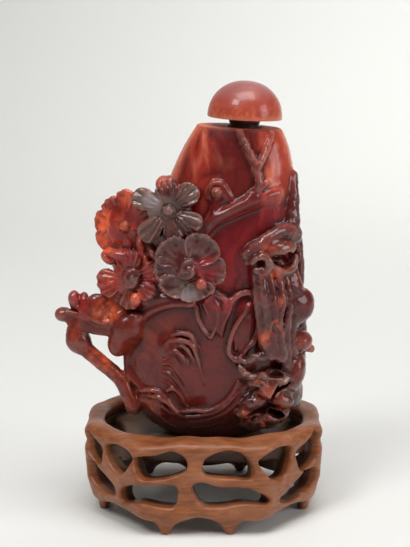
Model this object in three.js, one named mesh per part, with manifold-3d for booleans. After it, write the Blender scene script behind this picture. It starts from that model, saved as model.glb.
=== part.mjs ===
// A carved agate snuff bottle with its stopper, on a pierced rootwood stand.
// Millimetres, +Z up. The front, with the five large blossoms, faces -Y.
// The origin is under the middle of the whole object, on the surface that the stand's feet touch.

import * as THREE from 'three';
import { mergeVertices } from 'three/addons/utils/BufferGeometryUtils.js';
import Module from 'manifold-3d';

const wasm = await Module();
wasm.setup();

// Driving dimensions

const clearance = 0.3; // between pieces that rest on or in each other

const standWidth = 50.6;
const standDepth = 42.6;
const standHeight = 19.8;
const rimEdge = 0.9; // of the rounded edge at the top, inwards and down
const rimWave = 0.35; // how far the carved rim dips between its high places
const rimBreadthSide = 4.3; // from the recess to the outer edge, left and right
const rimBreadthFront = 6.5; // the same, front and back
const rimThickness = 2.6; // from the rim's top to its underside, inside
const recessDepth = 3.8; // from the rim's top to the seat that the bottle stands on
const seatThickness = 1.9;
const collarWall = 1.6; // the wall under the rim that carries the seat
const endGapLength = 4.2; // half length of the opening at each end of the seat, along X
const endGapWidth = 8.6; // half width of it, along Y
const wallThickness = 3.7; // of the pierced wall
const wallFoot = 3.5; // height of the wall's lower edge over the floor
const drawSide = 2.6; // how far the wall draws in at its foot, left and right
const drawFront = 0.7; // the same, front and back
const wallBackDrop = 2.2; // how much lower its lower edge is at the back
const footTop = 4.6; // half breadth of a foot where it leaves the wall
const footSole = 1.1; // half breadth of the flat under each foot
const footRoot = 1.6; // how far a foot reaches up into the wall
const footInset = 2.2; // from the wall's outside to the middle of a foot

const bottleWidth = 54.2; // over the carving, tip to tip
const bottleDepth = 27.0;
const bottleHeight = 65.3; // from its base to its top face
const bottleOffset = -3.4; // from the stand's middle to the middle of the carving, along X
const bottleLean = 3.0; // degrees, towards +X, of its top face and mouth
const mouthAcross = 0.435; // place of the mouth, as a share of the half width
const vesselWall = 3.6;
const neckLength = 9.2;

const plugRadius = 3.2;
const plugInset = 4.4; // how far the plug goes into the mouth
const plugShows = 1.5; // how much of it shows under the stopper
const plugTaper = 0.2;
const stopperRadius = 7.7;
const stopperHeight = 7.6;
const stopperEdge = 0.5; // height of the dome's plain edge
const stopperSquareness = 2.1; // 2 is a round dome

const radians = THREE.MathUtils.degToRad;

// Solids

function solidOf(geometry) {
  const bare = geometry.index ? geometry.clone() : geometry.clone();
  bare.deleteAttribute('normal');
  bare.deleteAttribute('uv');
  const merged = mergeVertices(bare, 1e-4);
  const corners = merged.index.array;
  const kept = [];
  for (let i = 0; i < corners.length; i += 3) {
    const [a, b, c] = [corners[i], corners[i + 1], corners[i + 2]];
    if (a !== b && b !== c && c !== a) kept.push(a, b, c);
  }
  return new wasm.Manifold(
    new wasm.Mesh({
      numProp: 3,
      vertProperties: Float32Array.from(merged.attributes.position.array),
      triVerts: Uint32Array.from(kept),
    }),
  );
}

function geometryOf(solid) {
  const mesh = solid.getMesh();
  const geometry = new THREE.BufferGeometry();
  geometry.setAttribute('position', new THREE.BufferAttribute(Float32Array.from(mesh.vertProperties), 3));
  geometry.setIndex(new THREE.BufferAttribute(Uint32Array.from(mesh.triVerts), 1));
  geometry.computeVertexNormals();
  return geometry;
}

function joined(solids) {
  return solids.reduce((sum, piece) => sum.add(piece));
}

function moveEach(geometry, mapping) {
  const position = geometry.attributes.position;
  const point = new THREE.Vector3();
  for (let i = 0; i < position.count; i++) {
    point.fromBufferAttribute(position, i);
    mapping(point);
    position.setXYZ(i, point.x, point.y, point.z);
  }
  return geometry;
}

// A branch, twig or strand: a tube along a curve, whose radius follows radiusAt(0..1).
// Its section is stretched by `flat` along the direction `across`, where one is given.
function sweep(points, radiusAt, sides, steps, flat = 1, across = null) {
  const curve = new THREE.CatmullRomCurve3(points, false, 'centripetal');
  const tube = new THREE.CylinderGeometry(1, 1, 1, sides, steps);
  const rings = [];
  for (let k = 0; k <= steps; k++) {
    const centre = curve.getPointAt(k / steps);
    const along = curve.getTangentAt(k / steps);
    const guide = across ? across(centre) : new THREE.Vector3(0, -1, 0);
    const side = new THREE.Vector3().crossVectors(along, guide).normalize();
    const out = new THREE.Vector3().crossVectors(side, along).normalize();
    rings.push({ centre, side, out });
  }
  moveEach(tube, (p) => {
    const k = Math.round((p.y + 0.5) * steps);
    const { centre, side, out } = rings[k];
    const radius = radiusAt(k / steps);
    const [x, z] = [p.x * radius, p.z * radius * flat];
    p.copy(centre).addScaledVector(side, x).addScaledVector(out, -z);
  });
  const made = solidOf(tube);
  return made.volume() > 0 ? made : flipped(tube);
}

function flipped(geometry) {
  const index = geometry.index.array;
  for (let i = 0; i < index.length; i += 3) {
    [index[i], index[i + 1]] = [index[i + 1], index[i]];
  }
  return solidOf(geometry);
}

// The bottle's own frame: across, up and deep are shares of its half width, height and half depth.
// across runs from -1 at the left tip to 1 at the right one, and deep from -1 at the front.

function place(across, up, deep) {
  return new THREE.Vector3((across * bottleWidth) / 2, (deep * bottleDepth) / 2, up * bottleHeight);
}

// The plain vessel under the carving, level by level: up, middle, half width, half depth.
const vesselLevels = [
  [0.0, 0.2, 0.36, 0.46],
  [0.03, 0.19, 0.5, 0.6],
  [0.1, 0.175, 0.62, 0.74],
  [0.25, 0.17, 0.66, 0.8],
  [0.45, 0.2, 0.63, 0.78],
  [0.65, 0.27, 0.565, 0.72],
  [0.85, 0.349, 0.475, 0.62],
  [0.95, 0.38, 0.395, 0.54],
  [1.0, 0.39, 0.32, 0.48],
];
const vesselSquareness = 2.3;

const vesselShape = new THREE.CubicInterpolant(
  vesselLevels.map((level) => level[0]),
  vesselLevels.flatMap((level) => level.slice(1)),
  3,
);

function vesselAt(up) {
  const [middle, halfWidth, halfDepth] = vesselShape.evaluate(THREE.MathUtils.clamp(up, 0, 1));
  return { middle, halfWidth, halfDepth };
}

// How deep the vessel's face lies at a place on its front, and 0 beyond its outline.
function faceDepth(across, up) {
  const { middle, halfWidth, halfDepth } = vesselAt(up);
  const aside = Math.min(1, Math.abs((across - middle) / halfWidth));
  return halfDepth * (1 - aside ** vesselSquareness) ** (1 / vesselSquareness);
}

function onFront(across, up, lift = 0) {
  return place(across, up, -faceDepth(across, up) - lift);
}

function onBack(across, up, lift = 0) {
  return place(across, up, faceDepth(across, up) + lift);
}

function leanOf(across, up) {
  const share = THREE.MathUtils.smoothstep(up, 0.6, 1);
  const { middle } = vesselAt(up);
  return -Math.tan(radians(bottleLean)) * share * ((across - middle) * bottleWidth) / 2;
}

// The vessel as stacked superelliptic sections. An inset makes the hollow inside it.
function vesselSolid(inset, from, to, sides, steps) {
  const body = new THREE.CylinderGeometry(1, 1, 1, sides, steps);
  moveEach(body, (p) => {
    const up = THREE.MathUtils.lerp(from, to, p.y + 0.5);
    const { middle, halfWidth, halfDepth } = vesselAt(up);
    const angle = Math.atan2(p.z, p.x);
    const radius = Math.hypot(p.x, p.z);
    const round = (Math.abs(Math.cos(angle)) ** vesselSquareness
      + Math.abs(Math.sin(angle)) ** vesselSquareness) ** (-1 / vesselSquareness);
    const close = inset > 0 ? Math.sqrt(Math.max(0.04, 1 - (2 * Math.abs(p.y)) ** 4)) : 1;
    const wide = Math.max(1, (halfWidth * bottleWidth) / 2 - inset) * close;
    const deep = Math.max(1, (halfDepth * bottleDepth) / 2 - inset) * close;
    const x = (middle * bottleWidth) / 2 + radius * round * Math.cos(angle) * wide;
    const y = -radius * round * Math.sin(angle) * deep;
    p.set(x, y, up * bottleHeight + leanOf((2 * x) / bottleWidth, up));
  });
  return solidOf(body);
}

// A rounded lump, such as a bud, a lobe or a knob. Its radii are shares of the height.
function lump(centre, radii, turn) {
  const [wide, deep, tall] = radii.map((share) => share * bottleHeight);
  const ball = new THREE.SphereGeometry(1, 6, 4).rotateX(Math.PI / 2);
  ball.scale(wide, deep, tall).rotateY(radians(turn));
  return solidOf(ball.translate(centre.x, centre.y, centre.z));
}

// A blossom: petals round a raised boss, turned towards the left by `turn` and upwards by `tip`,
// in degrees. A petal is its direction in degrees from +X, then its reach from the boss, half
// length and half breadth, as shares of the blossom's radius.
const blossomSides = 18;
const blossomRings = [
  // place on the way from the boss to the petals' edge, and depth; the boss comes first
  { boss: 0.22, out: 0.0, deep: -0.44 },
  { boss: 0.26, out: 0.0, deep: -0.16 },
  { boss: 0.1, out: 0.62, deep: -0.32 },
  { boss: 0.0, out: 1.0, deep: -0.2 },
  { boss: 0.0, out: 0.8, deep: 0.25 },
];

// How far the petals reach in one direction from the boss, in degrees.
function petalEdge(petals, direction) {
  const reaches = petals.map(([angle, reach, long, broad]) => {
    const away = radians(direction - angle);
    const [c, s] = [Math.cos(away), Math.sin(away)];
    const square = (c / long) ** 2 + (s / broad) ** 2;
    const half = (c * reach) / long ** 2;
    const inside = half ** 2 - square * ((reach / long) ** 2 - 1);
    return inside > 0 && c > 0 ? (half + Math.sqrt(inside)) / square : 0;
  });
  return Math.max(0.62, ...reaches);
}

function blossom({ at, radius, turn, tip, petals }) {
  const size = radius * bottleHeight;
  const first = petals[0][0];
  const flower = new THREE.SphereGeometry(1, blossomSides, blossomRings.length + 1);
  moveEach(flower, (p) => {
    const ring = Math.round((Math.acos(p.y) / Math.PI) * (blossomRings.length + 1));
    const turned = THREE.MathUtils.radToDeg(Math.atan2(p.z, p.x)) + first;
    if (ring === 0 || ring > blossomRings.length) {
      p.set(0, ring === 0 ? -0.5 * size : 0.3 * size, 0);
      return;
    }
    const { boss, out, deep } = blossomRings[ring - 1];
    const reach = (boss + out * petalEdge(petals, turned)) * size;
    p.set(Math.cos(radians(turned)) * reach, deep * size, Math.sin(radians(turned)) * reach);
  });
  flower.applyMatrix4(new THREE.Matrix4()
    .makeRotationFromEuler(new THREE.Euler(radians(-tip), 0, radians(-turn), 'ZXY'))
    .setPosition(at));
  const made = solidOf(flower);
  return made.volume() > 0 ? made : flipped(flower);
}

// The carving, each list in the bottle's own shares.

const evenPetals = [18, 90, 162, 234, 306].map((angle) => [angle, 0.62, 0.38, 0.4]);

const blossoms = [
  {
    at: place(-0.43, 0.695, -0.52), radius: 0.1, turn: 26, tip: 0,
    petals: [[92, 0.8, 0.34, 0.26], [134, 0.7, 0.3, 0.3], [178, 0.84, 0.38, 0.34],
      [215, 0.86, 0.36, 0.32], [250, 0.6, 0.32, 0.36]],
  },
  {
    at: place(-0.13, 0.768, -0.86), radius: 0.094, turn: 8, tip: 4,
    petals: [[160, 0.78, 0.44, 0.33], [230, 0.82, 0.47, 0.28], [283, 0.6, 0.36, 0.32],
      [326, 0.76, 0.42, 0.29], [33, 0.68, 0.36, 0.33]],
  },
  {
    at: place(0.0, 0.582, -0.93), radius: 0.098, turn: 2, tip: -2,
    petals: [[142, 0.74, 0.36, 0.37], [51, 0.68, 0.38, 0.38], [-2, 0.72, 0.33, 0.32],
      [289, 0.72, 0.28, 0.42, -12], [223, 0.76, 0.34, 0.3], [183, 0.7, 0.28, 0.28]],
  },
  {
    at: place(-0.42, 0.54, -0.68), radius: 0.092, turn: 14, tip: -2,
    petals: [[198, 0.84, 0.38, 0.48], [255, 0.7, 0.31, 0.26], [23, 0.56, 0.34, 0.38],
      [328, 0.52, 0.3, 0.3], [100, 0.5, 0.3, 0.36]],
  },
  { at: onBack(0.1, 0.62, 0.1), radius: 0.092, turn: 180, tip: 0, petals: evenPetals },
  { at: onBack(-0.22, 0.42, 0.08), radius: 0.08, turn: 188, tip: 0, petals: evenPetals },
];

// Branches, twigs and ridges that lie on the front: places, then radii as shares of the height.
const frontStrands = [
  // the branch behind the upper blossoms, its bud and the forked twig over it
  { run: [[0.12, 0.69], [0.22, 0.73], [0.36, 0.762], [0.52, 0.785], [0.68, 0.795]], thick: [0.016, 0.013] },
  {
    run: [[0.46, 0.782], [0.54, 0.83], [0.51, 0.89], [0.44, 0.955], [0.385, 0.995]],
    thick: [0.014, 0.009],
  },
  { run: [[0.53, 0.875], [0.59, 0.925], [0.635, 0.985]], thick: [0.012, 0.009] },
  { run: [[0.2, 0.73], [0.225, 0.805]], thick: [0.011, 0.011] },
  // the ridge from the fungus stem round the plain belly
  { run: [[-0.44, 0.29], [-0.38, 0.36], [-0.27, 0.42], [0.06, 0.45]], thick: [0.013, 0.018] },
  // the pointed leaf and the looped leaf
  { run: [[0.06, 0.45], [0.12, 0.39], [0.2, 0.345]], thick: [0.018, 0.01] },
  { run: [[0.21, 0.475], [0.27, 0.42], [0.24, 0.35]], thick: [0.022, 0.012] },
  { run: [[0.42, 0.49], [0.4, 0.4], [0.32, 0.32], [0.37, 0.27]], thick: [0.014, 0.014] },
  { run: [[0.37, 0.27], [0.5, 0.31], [0.56, 0.4], [0.42, 0.49]], thick: [0.013, 0.016] },
  // the whorl of fine strands
  { run: [[-0.19, 0.285], [-0.14, 0.335], [-0.02, 0.345], [0.06, 0.29], [0.1, 0.2]], thick: [0.015, 0.01] },
  { run: [[-0.15, 0.275], [-0.05, 0.29], [0.01, 0.23], [0.08, 0.14]], thick: [0.015, 0.01] },
  // the stems that run under the belly
  { run: [[-0.05, 0.08], [0.12, 0.08], [0.28, 0.105], [0.4, 0.15], [0.5, 0.21]], thick: [0.018, 0.02] },
  { run: [[-0.44, 0.14], [-0.3, 0.115], [-0.15, 0.06]], thick: [0.026, 0.014] },
];

const backStrands = [
  { run: [[0.66, 0.24], [0.5, 0.42], [0.3, 0.53], [0.12, 0.6]], thick: [0.032, 0.018] },
  { run: [[0.4, 0.48], [0.12, 0.44], [-0.2, 0.42]], thick: [0.022, 0.016] },
  { run: [[0.12, 0.6], [0.16, 0.74], [0.3, 0.86]], thick: [0.018, 0.012] },
  { run: [[-0.36, 0.13], [0.05, 0.085], [0.5, 0.14]], thick: [0.022, 0.022] },
];

// Branches that stand free of the vessel, with their own depths.
const freeStrands = [
  // the handle at the left
  {
    run: [[-0.85, 0.37, -0.3], [-0.85, 0.325, -0.3], [-0.74, 0.272, -0.32], [-0.65, 0.237, -0.34],
      [-0.5, 0.18, -0.36], [-0.43, 0.105, -0.4]],
    thick: [0.028, 0.034, 0.024, 0.022, 0.024, 0.026],
  },
  // the fungus stem that the fork at the left grows from
  {
    run: [[-0.96, 0.405, -0.28], [-0.86, 0.385, -0.32], [-0.72, 0.36, -0.38], [-0.56, 0.36, -0.48],
      [-0.4, 0.39, -0.6], [-0.15, 0.425, -0.76]],
    thick: [0.02, 0.024, 0.026, 0.026, 0.028, 0.02],
  },
  // the stalk of the topmost bud
  { run: [[-0.165, 0.833, -0.62], [0.03, 0.79, -0.38]], thick: [0.016, 0.018] },
  // the spike and the arch of the hollow trunk up the right side
  { run: [[0.805, 0.842, -0.18], [0.8, 0.76, -0.28], [0.785, 0.66, -0.36]], thick: [0.018, 0.024, 0.032] },
  {
    run: [[0.44, 0.61, -0.86], [0.6, 0.65, -0.78], [0.72, 0.68, -0.6], [0.8, 0.66, -0.36]],
    thick: [0.014, 0.026],
  },
];

// Lumps: places, then radii across, deep and up as shares of the height, then a turn in degrees
// clockwise as seen from the front.
const lumps = [
  // the leaves that carry the left blossoms
  { at: place(-0.33, 0.63, -0.26), radii: [0.12, 0.1, 0.15] },
  { at: place(-0.22, 0.5, -0.56), radii: [0.16, 0.085, 0.075] },
  { at: place(-0.08, 0.67, -0.72), radii: [0.09, 0.06, 0.06] },
  // buds and single leaves
  { at: place(-0.165, 0.833, -0.66), radii: [0.026, 0.03, 0.03] },
  { at: place(0.02, 0.805, -0.76), radii: [0.036, 0.03, 0.03] },
  { at: onFront(0.23, 0.82, 0.02), radii: [0.03, 0.02, 0.028] },
  { at: place(-0.575, 0.598, -0.5), radii: [0.032, 0.028, 0.026], turn: 16 },
  { at: place(-0.45, 0.608, -0.62), radii: [0.055, 0.03, 0.02], turn: 10 },
  { at: place(-0.385, 0.475, -0.76), radii: [0.017, 0.02, 0.02] },
  // the heads of the fungus, the thin web between them and the body, and the knob of the handle
  { at: place(-0.96, 0.402, -0.28), radii: [0.023, 0.03, 0.022] },
  { at: place(-0.86, 0.455, -0.26), radii: [0.024, 0.03, 0.032], turn: -20 },
  { at: place(-0.78, 0.425, -0.3), radii: [0.03, 0.024, 0.036], turn: 12 },
  { at: place(-0.64, 0.42, -0.44), radii: [0.08, 0.022, 0.06], turn: -8 },
  // the leaf lobe that hangs beside the body
  { at: place(-0.53, 0.31, -0.4), radii: [0.03, 0.034, 0.046], turn: 14 },
  { at: place(-0.45, 0.37, -0.42), radii: [0.06, 0.06, 0.05] },
  // lobes down the right edge
  { at: place(0.91, 0.44, -0.06), radii: [0.037, 0.05, 0.06], turn: 8 },
  { at: place(0.84, 0.5, -0.1), radii: [0.025, 0.04, 0.045] },
  { at: place(0.9, 0.31, -0.14), radii: [0.04, 0.05, 0.04] },
  { at: place(0.86, 0.215, -0.12), radii: [0.038, 0.06, 0.06], turn: 16 },
  { at: place(0.75, 0.13, -0.2), radii: [0.06, 0.08, 0.08], turn: 24 },
  // rough rock low on the right
  { at: place(0.62, 0.2, -0.74), radii: [0.065, 0.042, 0.04], turn: -16 },
  { at: place(0.71, 0.15, -0.56), radii: [0.05, 0.05, 0.05], turn: 30 },
  { at: place(0.52, 0.125, -0.7), radii: [0.05, 0.036, 0.042] },
  { at: place(0.58, 0.075, -0.56), radii: [0.08, 0.05, 0.04], turn: -12 },
  // the same mass at the back, plainer
  { at: place(0.62, 0.2, 0.6), radii: [0.08, 0.06, 0.1], turn: -12 },
  { at: place(0.72, 0.42, 0.4), radii: [0.05, 0.07, 0.13] },
  { at: place(-0.3, 0.55, 0.3), radii: [0.08, 0.07, 0.11] },
];

// The trunk below its arch: upright roots side by side, from the front round the right edge.
const trunk = {
  top: [0.51, 0.885], // across, at both sides of the top
  foot: [0.575, 0.89], // the same at the foot
  rows: [0.645, 0.6, 0.42, 0.24], // up
  lifts: [0.0, 0.11, 0.13, 0.06], // out from the vessel's face, row by row
  roots: 4,
  groove: 0.1, // depth between two roots
};

function trunkSolid() {
  const columns = trunk.roots * 2;
  const panel = new THREE.BoxGeometry(1, 1, 1, columns, 1, trunk.rows.length - 1);
  moveEach(panel, (p) => {
    const column = Math.round((p.x + 0.5) * columns);
    const row = trunk.rows.length - 1 - Math.round((p.z + 0.5) * (trunk.rows.length - 1));
    const down = row / (trunk.rows.length - 1);
    const left = THREE.MathUtils.lerp(trunk.top[0], trunk.foot[0], down);
    const right = THREE.MathUtils.lerp(trunk.top[1], trunk.foot[1], down);
    const way = column / columns;
    const across = THREE.MathUtils.lerp(left, right, way);
    const up = trunk.rows[row] - 0.03 * Math.sin(way * 9);
    const face = Math.max(faceDepth(Math.min(across, 0.8), up), 0.12) * (1 - 0.55 * way ** 3);
    const groove = column % 2 === 0 ? trunk.groove : 0;
    const lift = p.y < 0 ? trunk.lifts[row] - groove : -0.3;
    p.copy(place(across, up, -Math.max(0.05, face + lift)));
  });
  return solidOf(panel);
}

function tapered(thick) {
  const radii = thick.map((share) => share * bottleHeight);
  return (t) => {
    const spot = t * (radii.length - 1);
    const k = Math.min(radii.length - 2, Math.floor(spot));
    return THREE.MathUtils.lerp(radii[k], radii[k + 1], spot - k);
  };
}

function strand(points, thick, sides = 4) {
  return sweep(points, tapered(thick), sides, points.length > 2 ? points.length : 1);
}

const mouth = place(mouthAcross, 1, 0).setZ(bottleHeight + leanOf(mouthAcross, 1));

// Puts a piece made round the Z axis, with Z = 0 in the mouth's plane, into the leaning mouth.
function intoMouth(geometry) {
  geometry.rotateY(radians(bottleLean));
  return geometry.translate(mouth.x, mouth.y, mouth.z);
}

function bottleSolid() {
  const carving = [
    ...blossoms.map(blossom),
    ...frontStrands.map(({ run, thick }) => strand(run.map(([a, u]) => onFront(a, u, 0.02)), thick)),
    ...backStrands.map(({ run, thick }) => strand(run.map(([a, u]) => onBack(a, u, 0.01)), thick)),
    ...freeStrands.map(({ run, thick }) => strand(run.map(([a, u, d]) => place(a, u, d)), thick)),
    ...lumps.map(({ at, radii, turn = 0 }) => lump(at, radii, turn)),
    trunkSolid(),
  ];
  const floor = vesselWall / bottleHeight;
  const ceiling = 1 - neckLength / bottleHeight;
  const hollow = vesselSolid(vesselWall, floor, ceiling, 10, 4);
  const boreRadius = plugRadius + clearance;
  const reach = neckLength + 6;
  const bore = new THREE.CylinderGeometry(boreRadius, boreRadius, reach + 5, 10).rotateX(Math.PI / 2);
  bore.translate(0, 0, (5 - reach) / 2);
  const vessel = vesselSolid(0, 0, 1, 20, 8);
  const above = new THREE.BoxGeometry(bottleWidth, bottleDepth, neckLength);
  above.translate(0, 0, neckLength / 2);
  return joined([vessel, ...carving])
    .subtract(solidOf(intoMouth(above)))
    .subtract(hollow)
    .subtract(solidOf(intoMouth(bore)));
}

// The stopper is a squarish dome with a flat underside, on a dark turned plug.

function stopperGeometry() {
  const outline = [new THREE.Vector2(0, 0), new THREE.Vector2(stopperRadius * 0.94, 0)];
  const steps = 6;
  for (let k = 0; k <= steps; k++) {
    const angle = (Math.PI / 2) * (k / steps);
    const across = k === steps ? 0 : Math.cos(angle) ** (2 / stopperSquareness);
    const up = Math.sin(angle) ** (2 / stopperSquareness);
    outline.push(new THREE.Vector2(
      across * stopperRadius,
      stopperEdge + up * (stopperHeight - stopperEdge),
    ));
  }
  const dome = new THREE.LatheGeometry(outline, 18);
  dome.rotateX(Math.PI / 2);
  dome.translate(0, 0, plugShows + clearance);
  return intoMouth(dome);
}

function plugGeometry() {
  const outline = [
    new THREE.Vector2(0, -plugInset),
    new THREE.Vector2(plugRadius - plugTaper, -plugInset),
    new THREE.Vector2(plugRadius, 0),
    new THREE.Vector2(plugRadius, plugShows),
    new THREE.Vector2(0, plugShows),
  ];
  const plug = new THREE.LatheGeometry(outline, 14);
  plug.rotateX(Math.PI / 2);
  return intoMouth(plug);
}

// The stand: an eight-sided wall, pierced like interlaced roots, under a rounded rim and on feet.

const frontFaceShare = 0.53; // of the half width, to a front corner
const sideFaceShare = 0.36; // of the half depth, to a side corner at the front
const sideFaceShareBack = 0.4; // the same at the back

// One corner-rounded eight-sided section, as places round it.
function octagon(halfWidth, halfDepth, rounding = 0.11) {
  const fx = halfWidth * frontFaceShare;
  const [sy, by] = [halfDepth * sideFaceShare, halfDepth * sideFaceShareBack];
  const corners = [
    [halfWidth, -sy], [halfWidth, by], [fx, halfDepth], [-fx, halfDepth],
    [-halfWidth, by], [-halfWidth, -sy], [-fx, -halfDepth], [fx, -halfDepth],
  ].map(([x, y]) => new THREE.Vector2(x, y));
  return corners.flatMap((corner, k) => {
    const start = corner.clone().lerp(corners[(k + 7) % 8], rounding);
    const end = corner.clone().lerp(corners[(k + 1) % 8], rounding);
    return [start, end];
  });
}

function superellipse(halfWidth, halfDepth, power, count) {
  return Array.from({ length: count }, (_, k) => {
    const angle = (2 * Math.PI * k) / count;
    const [c, s] = [Math.cos(angle), Math.sin(angle)];
    const round = (Math.abs(c) ** power + Math.abs(s) ** power) ** (-1 / power);
    return new THREE.Vector2(c * round * halfWidth, s * round * halfDepth);
  });
}

// A solid through closed sections of equally many places, each with its height.
function loft(sections, heightOf = (z) => z) {
  const sides = sections[0].ring.length;
  const tube = new THREE.CylinderGeometry(1, 1, 1, sides, sections.length - 1);
  moveEach(tube, (p) => {
    const { ring, z } = sections[Math.round((p.y + 0.5) * (sections.length - 1))];
    const k = Math.round((Math.atan2(p.x, p.z) / (2 * Math.PI)) * sides + sides) % sides;
    const onAxis = Math.hypot(p.x, p.z) < 0.5;
    p.set(onAxis ? 0 : ring[k].x, onAxis ? 0 : ring[k].y, z);
    p.z = heightOf(p.z, p.x, p.y);
  });
  const made = solidOf(tube);
  return made.volume() > 0 ? made : flipped(tube);
}

// How far the wall has drawn in at a height, from 0 under the rim to 1 at the floor.
const drawLevels = new THREE.CubicInterpolant([0, 3, 5, 8, 14, 20], [1, 0.78, 0.5, 0.2, 0.04, 0], 1);
const drawnIn = (z) => drawLevels.evaluate(THREE.MathUtils.clamp(z, 0, 20))[0];

function wallSection(z, inset = 0, step = 0) {
  const draw = drawnIn(z);
  return {
    ring: octagon(standWidth / 2 - inset - drawSide * draw, standDepth / 2 - inset - drawFront * draw),
    z: z + step,
  };
}

// The rim's top waves gently, highest at the corners of the front and back.
function rimRise(x, y) {
  const direction = Math.atan2(x, -y);
  return -rimWave * (0.5 - 0.5 * Math.cos(6 * direction + 0.6));
}

// A window through the wall. Its outline is a list of directions, in degrees from the front
// towards +X, and heights, as shares of the stand's.
function windowSolid(outline) {
  const loop = new THREE.SplineCurve(
    [...outline, outline[0]].map(([direction, up]) => new THREE.Vector2(direction, up * standHeight)),
  );
  const sides = outline.length;
  const places = Array.from({ length: sides }, (_, k) => loop.getPointAt(k / sides));
  const middle = places.reduce((sum, p) => sum.add(p), new THREE.Vector2()).divideScalar(sides);
  const cutter = new THREE.CylinderGeometry(1, 1, 1, sides, 1);
  moveEach(cutter, (p) => {
    const k = Math.round((Math.atan2(p.x, p.z) / (2 * Math.PI)) * sides + sides) % sides;
    const spot = Math.hypot(p.x, p.z) < 0.5 ? middle : places[k];
    const reach = p.y > 0 ? standWidth : standWidth * 0.26;
    p.set(
      Math.sin(radians(spot.x)) * reach,
      -Math.cos(radians(spot.x)) * reach * (standDepth / standWidth),
      spot.y,
    );
  });
  const made = solidOf(cutter);
  return made.volume() > 0 ? made : flipped(cutter);
}

const frontWindows = [
  [[-35, 0.818], [-24, 0.869], [-17, 0.904], [-11, 0.843], [-10, 0.732], [-15, 0.677],
    [-23, 0.636], [-32, 0.641]],
  [[-45, 0.439], [-34, 0.53], [-17, 0.545], [-15, 0.444], [-17, 0.333], [-25, 0.343],
    [-33, 0.374], [-45, 0.313]],
  [[0, 0.712], [2, 0.828], [11, 0.914], [20, 0.884], [25, 0.768], [25, 0.641], [16, 0.646], [4, 0.662]],
  [[-6, 0.525], [-1, 0.576], [8, 0.53], [22, 0.515], [31, 0.434], [33, 0.359], [22, 0.374],
    [10, 0.338], [0, 0.354]],
];
const cornerWindows = [
  [[-58, 0.823], [-48, 0.894], [-38, 0.859], [-41, 0.707], [-47, 0.611], [-54, 0.677]],
  [[-72, 0.919], [-64, 0.838], [-61, 0.717], [-64, 0.626], [-71, 0.717]],
  [[-71, 0.606], [-63, 0.545], [-53, 0.434], [-52, 0.343], [-62, 0.323], [-71, 0.424]],
  [[30, 0.843], [38, 0.909], [49, 0.869], [47, 0.702], [44, 0.596], [36, 0.606], [30, 0.747]],
  [[54, 0.758], [61, 0.838], [69, 0.939], [71, 0.798], [69, 0.646], [59, 0.576]],
  [[42, 0.343], [51, 0.434], [62, 0.525], [70, 0.525], [70, 0.374], [61, 0.293], [50, 0.283]],
];
const sideWindows = [
  [[80, 0.737], [83, 0.879], [91, 0.909], [99, 0.848], [99, 0.636], [89, 0.606]],
  [[81, 0.485], [90, 0.525], [100, 0.475], [98, 0.323], [84, 0.313]],
];

// Each foot: its direction, in degrees from the front towards +X, and how stout it is.
const feet = [[-22.5, 1], [16, 1], [-79, 1.15], [78, 1.15], [-102, 1.15], [103, 1.15],
  [-144, 0.9], [-171, 0.9], [156, 0.9]];

// How far the wall's outside is from the stand's middle, in one direction.
function wallReach(direction, z) {
  const { ring } = wallSection(z);
  const ray = new THREE.Vector2(Math.sin(radians(direction)), -Math.cos(radians(direction)));
  return Math.min(...ring.map((corner, k) => {
    const edge = ring[(k + 1) % ring.length].clone().sub(corner);
    const out = new THREE.Vector2(edge.y, -edge.x);
    return out.dot(ray) > 0 ? out.dot(corner) / out.dot(ray) : Infinity;
  }));
}

// A foot is drawn down from the wall's lower edge, broad along the wall and thin through it.
function footSolid([direction, stout]) {
  const height = wallFoot + footRoot;
  const foot = new THREE.CylinderGeometry(1, 1, 1, 6, 2).rotateX(Math.PI / 2);
  const away = wallReach(direction, wallFoot) - footInset;
  moveEach(foot, (p) => {
    const share = p.z + 0.5;
    const broad = footSole + (footTop - footSole) * share ** 1.5;
    const thin = footSole + (wallThickness / 2 - footSole) * share;
    p.set(p.x * broad * stout, p.y * thin - away, share * height);
  });
  return solidOf(foot.rotateZ(radians(direction)));
}

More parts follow.
